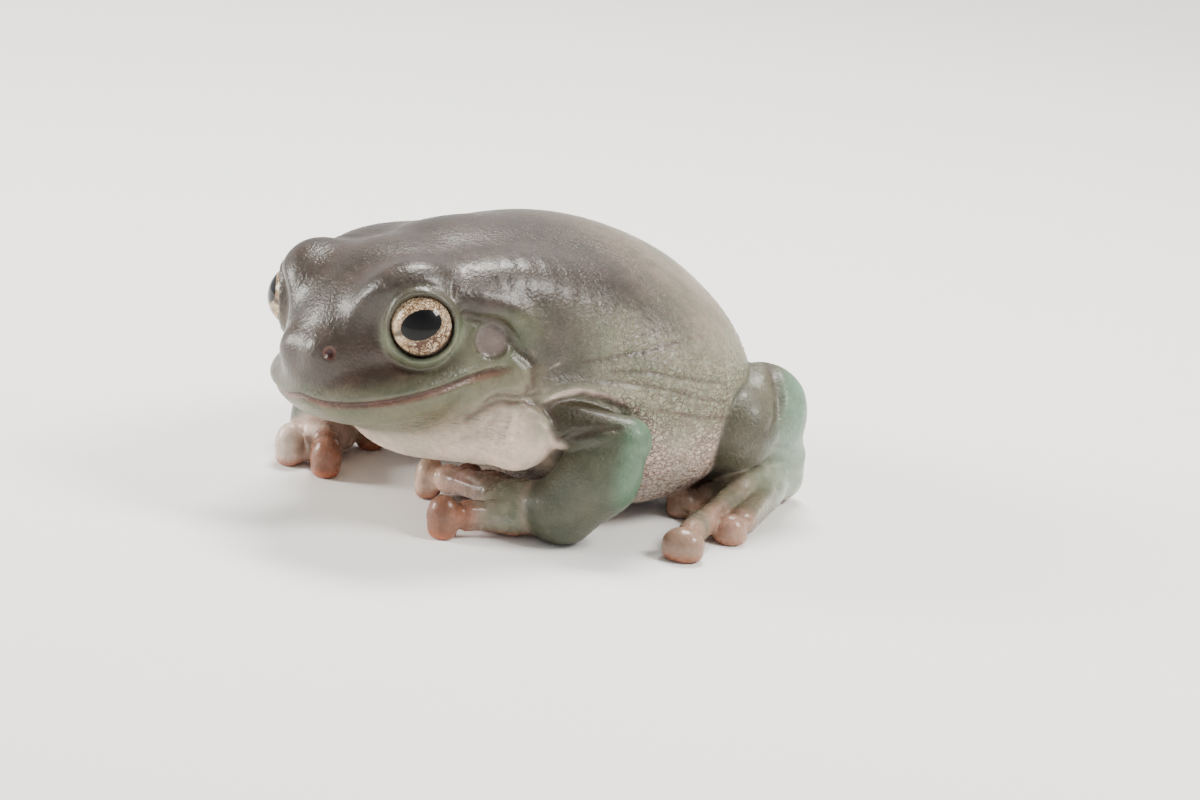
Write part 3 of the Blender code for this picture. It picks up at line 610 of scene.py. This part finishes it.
def model_hand(clay, side):
    """The palm, the wrist, four fingers and a web: the two hands are set differently."""
    frame = Frame(side=side)
    if side == LEFT:
        palm = Ellipsoid((15.4, 32.6, 3.4), (5.6, 4.8, 3.3), turn=(0, 0, 30), frame=frame)
        wrist = Limb([(20.5, 33.6, 4.4), (15.5, 32.0, 3.9)], [3.8, 3.4], frame)
        first = [(17.2, 30.0, 2.8), (14.6, 26.6, 2.9), (12.4, 21.0, 3.0)]
        second = [(12.4, 32.8, 3.8), (7.5, 32.6, 4.0), (2.4, 32.6, 3.6), (-2.2, 31.8, 3.0)]
        third = [(13, 36.0, 3.4), (6.5, 37.6, 3.2), (0.0, 37.4, 2.4)]
        fourth = [(17, 35, 3.0), (14, 40, 2.4), (9.5, 43.0, 1.9)]
        fingers = (
            (first, [2.6, 2.1, 2.2, 1.8], (2.4, 2.1, 3.1), 10),
            (second, [2.3, 2.2, 1.9, 2.2, 1.7], (1.9, 2.4, 3.0), 15),
            (third, [2.0, 1.7, 1.9, 1.5], (2.0, 2.4, 2.3), -10),
            (fourth, [1.9, 1.6, 1.7, 1.4], (2.0, 2.1, 2.1), -40),
        )
        between_fingers = (11.6, 29.4, 1.5), 4.4, 3.2, -60
    else:
        palm = Ellipsoid((24.6, 32.0, 3.3), (5.0, 4.6, 3.1), turn=(0, 0, 50), frame=frame)
        wrist = Limb([(27.0, 34.0, 4.6), (24.8, 32.5, 3.9)], [3.8, 3.2], frame)
        first = [(27.5, 30.5, 2.8), (26.4, 27.5, 3.1), (23.8, 24.6, 3.0)]
        second = [(23.4, 30.0, 3.4), (20.6, 28.4, 4.0), (17.0, 25.6, 2.8)]
        third = [(24.5, 33.5, 3.2), (24.3, 37.0, 2.8), (23.6, 40.2, 2.0)]
        fourth = [(26.5, 34, 3.0), (28.6, 38.2, 2.6), (29.6, 41.8, 1.9)]
        fingers = (
            (first, [2.3, 1.9, 2.1, 1.8], (2.2, 2.1, 3.1), 25),
            (second, [2.3, 2.0, 2.2, 1.8], (2.6, 2.3, 3.0), 30),
            (third, [2.0, 1.6, 1.7, 1.4], (1.9, 2.1, 2.0), -10),
            (fourth, [1.9, 1.6, 1.6, 1.4], (1.9, 2.1, 1.9), 10),
        )
        between_fingers = (22.6, 28.4, 1.5), 3.4, 2.6, 35
    clay.add(palm, 1.5)
    clay.add(wrist, 1.5)
    for finger in fingers:
        model_digit(clay, frame, *finger)
    web(clay, frame, *between_fingers)
    if side == LEFT:
        lay_folds(clay, HAND_FOLDS, frame)


def model_thigh(clay, side):
    clay.add(Limb([HIP, (20.3, 63.7, 12.2), KNEE], [6.5, 7.5, 6.0], Frame(side=side), 2))


def model_shank(clay, side):
    clay.add(Limb([KNEE, (24.8, 69.3, 14.4), ANKLE], [5.6, 6.4, 3.4], Frame(side=side), 2))


def model_foot(clay, side):
    frame = Frame(side=side)
    heel = [(24.2, 75.2, 6.6), (24.0, 75.2, 3.8), (25.2, 70, 3.8), (27.0, 64, 3.4)]
    clay.add(Limb(heel, [3.2, 3.6, 3.6, 3.3], frame, 1), 1)
    clay.add(Ellipsoid((27.2, 66.0, 2.6), (4.2, 7.0, 2.4), turn=(0, 0, 15), frame=frame), 1.5)
    longest = [(27.6, 64, 3.2), (30.6, 56, 2.9), (33.6, 48.6, 2.6), (36.4, 43.6, 2.2)]
    outer = [(29, 67, 2.8), (32.4, 60.6, 2.6), (34.6, 54.8, 2.0)]
    inner = [(26, 66, 3.0), (24.0, 61.5, 2.7), (22.6, 57.6, 2.0)]
    shortest = [(24, 69, 2.8), (21, 65, 2.5), (18.6, 62.0, 1.9)]
    for toe in (
        (longest, [2.5, 2.2, 1.9, 2.0, 1.7], (3.0, 2.5, 2.3), 25),
        (outer, [2.1, 1.8, 1.9, 1.5], (2.3, 2.1, 2.1), 25),
        (inner, [2.0, 1.8, 1.9, 1.5], (2.3, 2.1, 2.1), 20),
        (shortest, [1.9, 1.6, 1.7, 1.4], (2.0, 1.9, 2.0), 40),
    ):
        model_digit(clay, frame, *toe)
    web(clay, frame, (31.0, 60.0, 1.5), 6.0, 2.8, 20)
    web(clay, frame, (26.6, 60.4, 1.5), 5.0, 3.4, 0)
    lay_folds(clay, FOOT_FOLDS, frame)


def around_eye(angle, radius, rise):
    """A point beside the eye, in the head's frame: 0 degrees is towards the ear, 90 is up."""
    look = unit(EYE_LOOK)
    side = unit(np.cross((0, 0, 1), look))
    a = math.radians(angle)
    out = math.cos(a) * side + math.sin(a) * np.cross(look, side)
    return np.array(EYE_CENTRE) + look * rise + radius * out


def model_core(clay):
    """The torso and the head, with the folds of the skin and those round the eyes."""
    model_torso(clay)
    head = Clay()
    model_head(head)
    clay.field = smooth_min(clay.field, head.field, HEAD_BLEND)
    model_face(clay)
    for side in (LEFT, RIGHT):
        lay_folds(clay, HEAD_FOLDS, head_frame(side))
        lay_folds(clay, BODY_FOLDS, Frame(side=side))
    for side in (LEFT, RIGHT):
        for (start, end), radius, rise, width, height in LID_FOLDS:
            points = [around_eye(a, radius, rise) for a in np.linspace(start, end, 9)]
            clay.trace(points, width, height, head_frame(side))


LIMBS = {
    "forearm": model_forearm,
    "upper_arm": model_upper_arm,
    "hand": model_hand,
    "thigh": model_thigh,
    "shank": model_shank,
    "foot": model_foot,
}


def clay_skin():
    """The whole frog as one form, level where it rests, and each piece of its limbs alone."""
    core = Clay()
    model_core(core)
    near = {(kind, side): Clay() for side in (LEFT, RIGHT) for kind in LIMBS}
    for (kind, side), piece in near.items():
        LIMBS[kind](piece, side)
    for side in (LEFT, RIGHT):
        for root, middle, middle_blend, end, end_blend in LIMB_BLENDS:
            limb = smooth_min(near[root, side].field, near[middle, side].field, middle_blend)
            limb = smooth_min(limb, near[end, side].field, end_blend)
            core.field = smooth_min(core.field, limb, ROOT_BLEND)
        lay_folds(core, SMALL_FOLDS, Frame(side=side))
    core.field = np.maximum(core.field, -core.axes[2][None, None, :].astype(np.float32))
    return core, near


def keep_largest(mesh):
    """Takes away all but the largest connected piece of a mesh."""
    shape = bmesh.new()
    shape.from_mesh(mesh)
    waiting = set(shape.verts)
    pieces = []
    while waiting:
        front = [waiting.pop()]
        piece = set(front)
        while front:
            for edge in front.pop().link_edges:
                for vert in edge.verts:
                    if vert in waiting:
                        waiting.discard(vert)
                        piece.add(vert)
                        front.append(vert)
        pieces.append(piece)
    largest = max(pieces, key=len)
    bmesh.ops.delete(shape, geom=[v for v in shape.verts if v not in largest], context="VERTS")
    shape.to_mesh(mesh)
    shape.free()


def skin_mesh(clay):
    """The surface of the clay, its largest piece only."""
    grid = openvdb.FloatGrid(FAR)
    grid.copyFromArray(clay.field)
    points, triangles, quads = grid.convertToPolygons(0.0, 0.0)
    points = points.astype(float) * STEP + clay.low
    mesh = bpy.data.meshes.new("skin")
    mesh.from_pydata(points.tolist(), [], triangles.tolist() + quads.tolist())
    keep_largest(mesh)
    return mesh


def mesh_points(mesh):
    """The places and the normals of a mesh's points."""
    found = np.zeros((2, len(mesh.vertices) * 3))
    mesh.vertices.foreach_get("co", found[0])
    mesh.vertices.foreach_get("normal", found[1])
    return found.reshape(2, -1, 3)


def path_distance(points, path):
    """How far each point lies from a curve."""
    found = np.full(len(points), FAR)
    for a, b in zip(path, path[1:]):
        run = b - a
        share = np.clip((points - a) @ run / (run @ run + 1e-9), 0, 1)
        found = np.minimum(found, away_from(points - a, share[:, None] * run))
    return found


def cobbles(points, size, seed):
    """How much nearer each point is to the closest of many scattered spots than to the next one."""
    at = points / size
    home = np.floor(at).astype(np.int64)
    first = np.full(len(points), 9.0)
    second = np.full(len(points), 9.0)
    for offset in np.ndindex(3, 3, 3):
        cell = home + offset - 1
        mix_up = np.bitwise_xor.reduce(cell * SCATTER, 1) ^ seed
        away = np.zeros(len(points))
        for axis in range(3):
            mixed = (mix_up * (2654435761 + 40503 * axis) >> 7) & 0xFFFF
            away += (cell[:, axis] + 0.1 + 0.8 * mixed / 65535.0 - at[:, axis]) ** 2
        away = np.sqrt(away)
        second = np.minimum(second, np.maximum(first, away))
        first = np.minimum(first, away)
    return second - first


def regions(points, near):
    """Soft masks, 0 to 1, of each part of the skin, and the points in the head's frame."""
    found = {}
    head = np.zeros_like(points)
    for side in (LEFT, RIGHT):
        here = (points[:, 0] >= 0) == (side == LEFT)
        head[here] = np.stack(head_frame(side).inward(*points[here].T), 1)
    for kind in LIMBS:
        both = np.minimum(*(near[kind, side].value(points)[0] for side in (LEFT, RIGHT)))
        found[kind] = fade(both, 0.1, 1.8 if kind == "forearm" else 0.9)
    run = unit(np.subtract(ELBOW, SHOULDER))
    along = (np.abs(points[:, :1]) * run[0] + points[:, 1:] @ run[1:, None])[:, 0] - np.dot(SHOULDER, run)
    found["upper_arm"] *= soft(along - 0.9 - 1.2 * (19.4 - points[:, 2]), -1.6, 1.0)
    found["hand"] *= 1 - found["forearm"]
    found["foot"] *= 1 - found["shank"]
    found["limb"] = np.clip(sum(found[k] for k in ("forearm", "upper_arm", "thigh", "shank")), 0, 1)
    found["digits"] = np.clip(found["hand"] + found["foot"], 0, 1)
    found["core"] = np.clip(1 - found["limb"] - found["digits"], 0, 1)
    found["head"] = fade(sum((points[:, k] - NECK_POINT[k]) * NECK_NORMAL[k] for k in range(3)), -2, 3)
    return found, head


def crease_shade_share(points, clay):
    """How much painted shade each point takes in the grooves of the folds: more in grooves that are deep
    or very thin.
    """
    found = np.zeros(len(points))
    for side in (LEFT, RIGHT):
        body = Frame(side=side)
        for frame, folds in ((head_frame(side), HEAD_FOLDS), (body, BODY_FOLDS), (body, SMALL_FOLDS)):
            for curve, width, rise in folds:
                if rise < 0:
                    path = clay.settle(smooth_path(frame.out(curve), 1.0))
                    # Deep or very thin grooves take more painted shade
                    shade_strength = 0.7 if rise < -0.55 or width < 0.35 else 0.2
                    found = np.maximum(found, shade_strength * bump(path_distance(points, path), 0, width * 0.8))
    return found


def paint_skin(mesh, clay, near):
    """Colour, grain and gloss of the skin at every point of its mesh."""
    points, normals = mesh_points(mesh)
    width, depth, height = np.abs(points[:, 0]), points[:, 1], points[:, 2]
    facing = normals[:, 2]
    found, head = regions(points, near)
    x, y, z = head.T
    on_head, limb, digits = found["head"], found["limb"], found["digits"]
    body = 1 - on_head
    tone = np.tile(np.array(BACK), (len(points), 1))

    def lay(colour, share):
        tone[:] += (np.array(colour) - tone) * np.clip(share, 0, 1)[:, None]

    # The back, the flanks and the belly
    side_wall = fade(facing, 0.2, 0.75)
    # Lighter toward the rear of the back: partly its own paler tone, partly painted light
    lay(BACK_REAR_TINT_AND_LIGHT, 0.85 * soft(depth, 42, 68) * body)
    lay(FLANK, side_wall * soft(depth, 27, 40) * fade(height, 30, 36))
    lay(FLANK, 0.7 * fade(height, 18, 27) * body)
    shoulder = bump(depth, 33, 7) * soft(width, 13, 18) * soft(height, 21, 24) * fade(height, 31, 36)
    lay(SHOULDER_SHADE, 0.75 * shoulder)
    low = fade(height, 8, 18.5) * body
    lay(BELLY, low)
    lay(BELLY, fade(facing, -0.5, -0.05) * body)

    # The head, down to the throat and the chest
    above = z - mouth_level(x, y)
    at_mouth = on_head / (1 + np.exp((y - MOUTH_CORNER) / 0.5))
    lay(CHEEK, 0.85 * on_head * bump(y, 0.5, 6.5) * fade(z, 8.0, 11.5))
    lay(SNOUT_SIDE, on_head * fade(y, -9, -4) * soft(z, 1.2, 3.0) * fade(z, 8, 12) * soft(x, 3.5, 8))
    lay(LIP_BAND, 0.7 * at_mouth * bump(above, 1.0, 1.3))
    lay(JAW, on_head * fade(above, -1.2, 0.1) * soft(-y, -7, -3))
    pink_from = -11.5 + 7.0 * soft(y, -12, -1)
    lay(THROAT, 0.9 * on_head * fade(above - pink_from, -5.5, 5.5) * soft(-y, -9, -4))
    lay(THROAT, fade(height, 9, 15) * fade(depth, 34, 42))
    lay(THROAT, 0.8 * fade(z, -10, -6) * fade(depth, 30, 40))
    lay(LIP_PINK, 0.6 * at_mouth * bump(above, -0.42, 0.3))
    lay(MOUTH, at_mouth * bump(above, 0.0, 0.26))

    # Nostrils, eardrums and lids
    for side in (LEFT, RIGHT):
        frame = head_frame(side)
        nostril, drum = (clay.settle(frame.out([spot]), 3)[0] for spot in (NOSTRIL, EARDRUM))
        away = away_from(points, nostril)
        lay(NOSTRIL_RIM, 0.6 * fade(away, 0.75, 1.2))
        lay(NOSTRIL_HOLE, fade(away, 0.5, 0.85))
        away = away_from(points, drum)
        lay(DRUM, 0.85 * fade(away, EARDRUM_RADIUS - 0.5, EARDRUM_RADIUS + 0.2))
        lay(DRUM_RIM, 0.6 * bump(away, EARDRUM_RADIUS + 0.1, 0.28))
        look = frame.matrix @ unit(EYE_LOOK)
        from_eye = points - frame.out([EYE_CENTRE])[0]
        ahead = from_eye @ look
        off = away_from(from_eye, ahead[:, None] * look)
        lid = np.where((ahead > -1.0) & (np.linalg.norm(from_eye, axis=1) < 9), 1.0, 0.0)
        upper = soft(from_eye @ frame.matrix[:, 2], -1.5, 2.5)
        lay(LID_GREEN, LID_GREENNESS[side] * lid * fade(off, 4.8, 6.8) * (1 - 0.7 * upper))
        lay(LID_EDGE, lid * fade(off, EYE_OPENING + 0.05, EYE_OPENING + 0.4))

    # Arms, legs, hands and feet
    lay(UPPER_ARM, found["upper_arm"])
    lay(FOREARM, found["forearm"])
    lay(MINT, 0.75 * found["forearm"] * soft(width + 0.35 * (depth - 36), 29.6, 32.2))
    lay(THIGH, found["thigh"])
    lay(SHANK, found["shank"])
    lay(MINT_PALE, 0.8 * found["shank"] * soft(width + 0.9 * (depth - 68), 27.0, 33.5))
    lay(HAND, found["hand"])
    lay(PALM, 0.9 * found["hand"] * fade(away_from(points, WRIST_LEFT), 5, 13))
    lay(FOOT, found["foot"])
    # Paler mint at the heel: partly its own turquoise, partly a painted highlight
    lay(HEEL_TINT_AND_HIGHLIGHT, 0.8 * (found["foot"] + found["shank"]) * soft(depth, 61, 75) * fade(height, 6, 13))
    # Each pad's tint, some with painted light or painted shade in it
    for spot, tint in TIPS:
        lay(tint, 0.85 * digits * fade(away_from(points, spot), 3.0, 6.0))
    lay(PAD_UNDER, 0.7 * digits * fade(height, 0.4, 1.8) * (1 - 0.5 * soft(depth, 42, 46)))
    # Painted shade along the grooves of the folds
    lay(CREASE_SHADE, crease_shade_share(points, clay))

    rough_side = side_wall * soft(depth, 33, 44) * body
    grain = 0.22 + 0.78 * rough_side * (1 - digits) * (1 - 0.75 * limb)
    grain *= (1 - 0.75 * digits) * (1 - 0.45 * on_head)
    wet = 0.45 + 0.15 * on_head + 0.55 * digits - 0.35 * limb
    blush = on_head * fade(above, -6, -1) * soft(-y, -9, -4) + low * (1 - limb)
    opaque = np.hstack([np.clip(tone, 0, 1), np.ones((len(points), 1))])
    put(mesh, "tone", opaque, "FLOAT_COLOR", "color")
    for name, values in (("grain", grain), ("wet", wet), ("blush", blush * (1 - digits))):
        put(mesh, name, np.clip(values, 0, 1))


def put(mesh, name, values, kind="FLOAT", field="value"):
    """Keeps a number, a vector or a colour at every point of a mesh."""
    layer = mesh.attributes.new(name, kind, "POINT")
    layer.data.foreach_set(field, values.astype(np.float32).ravel())


def wrinkle(mesh, near):
    """Moves the points of the skin in and out, as the cobbles of the flanks and the belly."""
    points, normals = mesh_points(mesh)
    depth, height = points[:, 1], points[:, 2]
    core = regions(points, near)[0]["core"]
    flank = fade(normals[:, 2], 0.35, 0.9) * soft(depth, 30, 44) * core * soft(height, 2.0, 6.0)
    belly = fade(height, 9, 15) * core * soft(height, 1.0, 4.0)
    bent = points + 0.6 * np.stack([np.sin(points[:, (k + 1) % 3] * 0.9 + 2 * k) for k in range(3)], 1)
    large = soft(cobbles(bent * (1.0, 0.8, 1.1), 1.3, 5), 0.0, 0.5)
    small = soft(cobbles(bent, 0.85, 9), 0.0, 0.55)
    lift = (0.62 * large + 0.38 * small - 0.7) * COBBLE_RISE * np.maximum(flank, 0.45 * belly)
    mesh.vertices.foreach_set("co", (points + normals * lift[:, None]).ravel())
    mesh.update()


class Nodes:
    """Short hands for a material's nodes. A value is a plain one or another node's output."""

    def __init__(self, owner, shader="Principled BSDF"):
        owner.use_nodes = True
        self.tree = owner.node_tree
        self.shader = self.tree.nodes[shader]

    def feed(self, node, values):
        for key, value in values.items():
            if isinstance(value, bpy.types.NodeSocket):
                self.tree.links.new(value, node.inputs[key])
            else:
                node.inputs[key].default_value = value
        return node

    def add(self, kind, values=(), **settings):
        node = self.tree.nodes.new("ShaderNode" + kind)
        for key, value in settings.items():
            setattr(node, key, value)
        return self.feed(node, dict(values))

    def maths(self, operation, a, b):
        return self.add("Math", {0: a, 1: b}, operation=operation).outputs[0]

    def times(self, a, b):
        return self.maths("MULTIPLY", a, b)

    def vector(self, operation, a, b):
        return self.add("VectorMath", {0: a, 1: b}, operation=operation).outputs[0]

    def length(self, a):
        return self.add("VectorMath", {0: a}, operation="LENGTH").outputs["Value"]

    def ramp(self, value, low, high, to_low=0.0, to_high=1.0):
        values = {0: value, 1: low, 2: high, 3: to_low, 4: to_high}
        return self.add("MapRange", values, interpolation_type="SMOOTHSTEP").outputs[0]

    def blend(self, share, a, b, kind="MIX"):
        """Mixes two colours, each an output or three numbers."""
        a, b = (c if isinstance(c, bpy.types.NodeSocket) else (*c, 1) for c in (a, b))
        return self.add("Mix", {0: share, 6: a, 7: b}, data_type="RGBA", blend_type=kind).outputs[2]

    def noise(self, place, scale, detail=3.0, roughness=0.5, output="Fac"):
        values = {"Vector": place, "Scale": scale, "Detail": detail, "Roughness": roughness}
        return self.add("TexNoise", values).outputs[output]

    def cells(self, place, scale, feature="DISTANCE_TO_EDGE"):
        values = {"Vector": place, "Scale": scale}
        return self.add("TexVoronoi", values, feature=feature).outputs["Distance"]

    def bump(self, height, strength, distance, under=()):
        """A bump over those that lie under it. The distance is in metres."""
        values = {"Height": height, "Strength": strength, "Distance": distance, **dict(under)}
        return {"Normal": self.add("Bump", values).outputs["Normal"]}

    def attribute(self, name, output="Fac"):
        return self.add("Attribute", attribute_name=name).outputs[output]


def skin_material():
    """Moist skin, with the tone, grain, gloss and blush that are kept at the mesh's points."""
    material = bpy.data.materials.new("frog_skin")
    n = Nodes(material)
    place = n.add("TexCoord").outputs["Object"]
    grain, wet, blush = (n.attribute(name) for name in ("grain", "wet", "blush"))
    blotches = n.noise(place, 170, 4, 0.6)
    mottle = n.noise(place, 700, 3, 0.6)
    specks = n.noise(place, 2600, 2, 0.6)
    drift = n.noise(place, 650, 4, 0.65, "Color")
    warped = n.vector("ADD", place, n.vector("MULTIPLY", drift, (0.0016, 0.0016, 0.0016)))
    cell = n.cells(n.vector("MULTIPLY", warped, (1.0, 0.75, 1.2)), 1250)

    large = n.blend(n.ramp(blotches, 0.35, 0.65), (0.80, 0.84, 0.80), (1.14, 1.08, 1.08))
    small = n.blend(n.ramp(mottle, 0.3, 0.7), (0.88, 0.88, 0.86), (1.10, 1.09, 1.08))
    colour = n.blend(1.0, n.attribute("tone", "Color"), large, "MULTIPLY")
    colour = n.blend(1.0, colour, small, "MULTIPLY")
    edge = n.maths("SUBTRACT", cell, n.ramp(specks, 0.35, 0.65, 0.0, 0.08))
    patchy = n.times(n.maths("POWER", grain, 1.5), n.ramp(blotches, 0.3, 0.6, 0.5, 0.9))
    colour = n.blend(n.times(n.ramp(edge, -0.05, 0.17, 1.0, 0.0), patchy), colour, SEAM)
    colour = n.blend(n.times(n.ramp(specks, 0.60, 0.74, 0.0, 0.35), grain), colour, PALE_SPECK)
    freckles = n.times(n.ramp(n.noise(place, 1500, 3, 0.7), 0.45, 0.7), blush)
    colour = n.blend(n.times(freckles, 0.35), colour, FRECKLE)
    gloss = n.times(n.maths("ADD", wet, n.times(grain, 0.5)), 0.24)

    pebbles = n.bump(n.ramp(cell, 0.0, 0.45), n.times(grain, 0.9), 0.0003)
    gritty = n.maths("ADD", n.times(grain, 0.6), 0.42)
    grit = n.bump(n.cells(warped, 2300, "SMOOTH_F1"), gritty, 0.00012, pebbles)
    streaks = n.noise(n.vector("MULTIPLY", place, (700, 900, 2600)), 1)
    folds = n.bump(streaks, n.times(blush, 0.9), 0.0004, grit)
    waves = n.noise(n.vector("MULTIPLY", warped, (2600, 1000, 1900)), 1, 2, 0.6)
    relief = n.bump(waves, n.ramp(wet, 0.5, 0.8, 0.4, 0.1), 0.00014, folds)
    look = {
        "Base Color": colour,
        "Roughness": n.maths("SUBTRACT", n.ramp(mottle, 0.25, 0.75, 0.45, 0.57), gloss),
        "Specular IOR Level": 0.4,
        "Coat Weight": 0.1,
        "Coat Roughness": 0.17,
        "Subsurface Weight": 0.12,
        "Subsurface Radius": (1.0, 0.45, 0.3),
        "Subsurface Scale": 0.0012,
    }
    n.feed(n.shader, {**look, **relief})
    return material


def eye_material():
    """A wet eye: a pale gold iris netted with brown, a black oval pupil and a dark outer rim."""
    material = bpy.data.materials.new("frog_eye")
    n = Nodes(material)
    place = n.attribute("across", "Vector")
    u, v, _ = n.add("SeparateXYZ", {0: place}).outputs
    flat = n.vector("MULTIPLY", place, (1, 1, 0))

    def oval(centre, radii):
        """How far out of an oval's middle each point is, with 1 at its edge."""
        from_middle = n.vector("SUBTRACT", flat, (*centre, 0))
        return n.length(n.vector("DIVIDE", from_middle, (*radii, 1)))

    wobble = n.maths("SUBTRACT", n.noise(place, 2.2, 2), 0.5)
    out = n.maths("ADD", n.length(flat), n.times(wobble, 0.18))
    warped = n.vector("ADD", place, n.noise(place, 0.9, 1, output="Color"))
    veins, net = n.cells(warped, 0.95), n.cells(warped, 2.6)
    specks = n.noise(place, 3.4, 4, 0.8)
    pupil = oval((0, 0), PUPIL)
    colour = n.blend(n.ramp(n.noise(place, 0.9, 3, 0.6), 0.35, 0.65), GOLD_DARK, GOLD_PALE)
    for share, tint in (
        (n.times(n.ramp(veins, 0.01, 0.15, 0.95, 0.0), n.ramp(v, -2.4, -1.0, 1.0, 0.1)), IRIS_VEIN),
        (n.times(n.ramp(net, 0.04, 0.2, 1.0, 0.0), n.ramp(u, -3.6, -1.2, 0.35, 0.95)), IRIS_NET),
        (n.ramp(specks, 0.48, 0.62, 0.0, 0.55), IRIS_SPECK),
        (n.ramp(out, IRIS_EDGE - 0.28, IRIS_EDGE), IRIS_RIM),
        (n.ramp(oval(TEAR_PLACE, TEAR_RADII), 0.5, 1.4, 0.85, 0.0), TEAR),
        (n.ramp(pupil, 1.0, 1.16, 0.5, 0.0), PUPIL_RIM),
        (n.ramp(pupil, 0.965, 1.0, 1.0, 0.0), PUPIL_BLACK),
    ):
        colour = n.blend(share, colour, tint)
    look = {"Base Color": colour, "Roughness": 0.4, "Specular IOR Level": 0.05}
    n.feed(n.shader, {**look, "Coat Weight": 1.0, "Coat Roughness": 0.02, "Coat IOR": 1.27})
    return material


def show(mesh, material):
    """The object that carries a finished mesh."""
    mesh.shade_smooth()
    mesh.materials.append(material)
    obj = bpy.data.objects.new(mesh.name, mesh)
    bpy.context.scene.collection.objects.link(obj)
    return obj


def make_eye(side, material):
    """One eyeball, on the solid eye's place, with its own across, up and ahead kept at every point."""
    name = SIDE_NAME[side]
    frame = head_frame(side)
    ball = bmesh.new()
    bmesh.ops.create_uvsphere(ball, u_segments=96, v_segments=64, radius=EYE_RADIUS)
    across = np.array([v.co[:] for v in ball.verts])
    ahead = frame.matrix @ unit(PUPIL_LOOK[side])
    up = unit(frame.matrix[:, 2] - (frame.matrix[:, 2] @ ahead) * ahead)
    right = np.cross(up, ahead) * side
    tilt = math.cos(PUPIL_TILT), math.sin(PUPIL_TILT)
    axes = np.stack([tilt[0] * right + tilt[1] * up, tilt[0] * up - tilt[1] * right, ahead])
    mesh = bpy.data.meshes.new(f"eyeball_{name}")
    ball.to_mesh(mesh)
    ball.free()
    placed = (across + frame.out([EYE_CENTRE])[0] + PLACED) * MM
    mesh.vertices.foreach_set("co", placed.ravel())
    put(mesh, "across", across @ axes.T, "FLOAT_VECTOR", "vector")
    obj = show(mesh, material)
    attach(obj, "root")
    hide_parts(f"eye_{name}")


def make_skin():
    """The one skin that stands for every node but the eyes."""
    clay, near = clay_skin()
    mesh = skin_mesh(clay)
    wrinkle(mesh, near)
    paint_skin(mesh, clay, near)
    points, _ = mesh_points(mesh)
    points[:, 2] = np.maximum(points[:, 2], 0.0)
    mesh.vertices.foreach_set("co", ((points + PLACED) * MM).ravel())
    mesh.update()
    obj = show(mesh, skin_material())
    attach(obj, "root")
    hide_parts(*[name for name in frame["nodes"] if not name.startswith("eye")])


def camera_axes():
    """The directions that the camera has at its right, above it and behind it."""
    turn, lean, roll = (math.radians(a) for a in CAMERA_ANGLES)
    back = np.array([math.sin(turn) * math.cos(lean), -math.cos(turn) * math.cos(lean), math.sin(lean)])
    level = np.array([math.cos(turn), math.sin(turn), 0.0])
    rise = np.cross(back, level)
    right = level * math.cos(roll) + rise * math.sin(roll)
    return right, rise * math.cos(roll) - level * math.sin(roll), back


def set_camera():
    right, up, back = camera_axes()
    across, below = (CAMERA_PIXEL[k] - PHOTO_SIZE[k] / 2 for k in range(2))
    aside = (right * across - up * below) / CAMERA_FOCAL
    place = np.array(CAMERA_AIM) + (back - aside) * CAMERA_DISTANCE + PLACED
    data = bpy.data.cameras.new("camera")
    data.sensor_width = SENSOR_WIDTH
    data.lens = CAMERA_FOCAL / PHOTO_SIZE[0] * SENSOR_WIDTH
    data.clip_start, data.clip_end = 0.01, 20
    camera = bpy.data.objects.new("camera", data)
    turn = Matrix([[right[k], up[k], back[k]] for k in range(3)]).to_4x4()
    camera.matrix_world = Matrix.Translation(Vector(place * MM)) @ turn
    bpy.context.scene.collection.objects.link(camera)
    bpy.context.scene.camera = camera


def add_light(name, direction, distance, size, watts):
    lamp = bpy.data.lights.new(name, "AREA")
    lamp.shape = "RECTANGLE"
    lamp.size, lamp.size_y = size
    lamp.energy = watts
    lamp.color = WARM
    obj = bpy.data.objects.new(name, lamp)
    away = Vector(np.array(direction) @ np.array(camera_axes())).normalized()
    obj.location = Vector(LIGHT_AIM) + away * distance
    obj.rotation_euler = away.to_track_quat("Z", "Y").to_euler()
    bpy.context.scene.collection.objects.link(obj)


def set_studio():
    """The lights, a white surround that dims towards the top, and a pale floor."""
    for name, settings in LIGHTS.items():
        add_light(name, *settings)
    world = bpy.data.worlds.new("studio")
    n = Nodes(world, "Background")
    height = n.add("SeparateXYZ", {0: n.add("TexCoord").outputs["Generated"]}).outputs["Z"]
    strength = n.add("MapRange", {0: height, 2: 0.7, 3: 1.0, 4: 0.38}).outputs[0]
    n.feed(n.shader, {"Color": (1, 1, 1, 1), "Strength": strength})
    bpy.context.scene.world = world

    bpy.ops.mesh.primitive_plane_add(size=FLOOR_SIZE)
    floor = bpy.context.object
    floor.name = "floor"
    material = bpy.data.materials.new("pale_floor")
    n = Nodes(material)
    patches = n.noise(n.add("TexCoord").outputs["Object"], 30)
    n.feed(n.shader, {"Base Color": n.blend(patches, FLOOR_DARK, FLOOR_PALE), "Roughness": 0.7})
    floor.data.materials.append(material)


def main():
    set_camera()
    set_studio()
    make_skin()
    eyes = eye_material()
    for side in (LEFT, RIGHT):
        make_eye(side, eyes)


main()
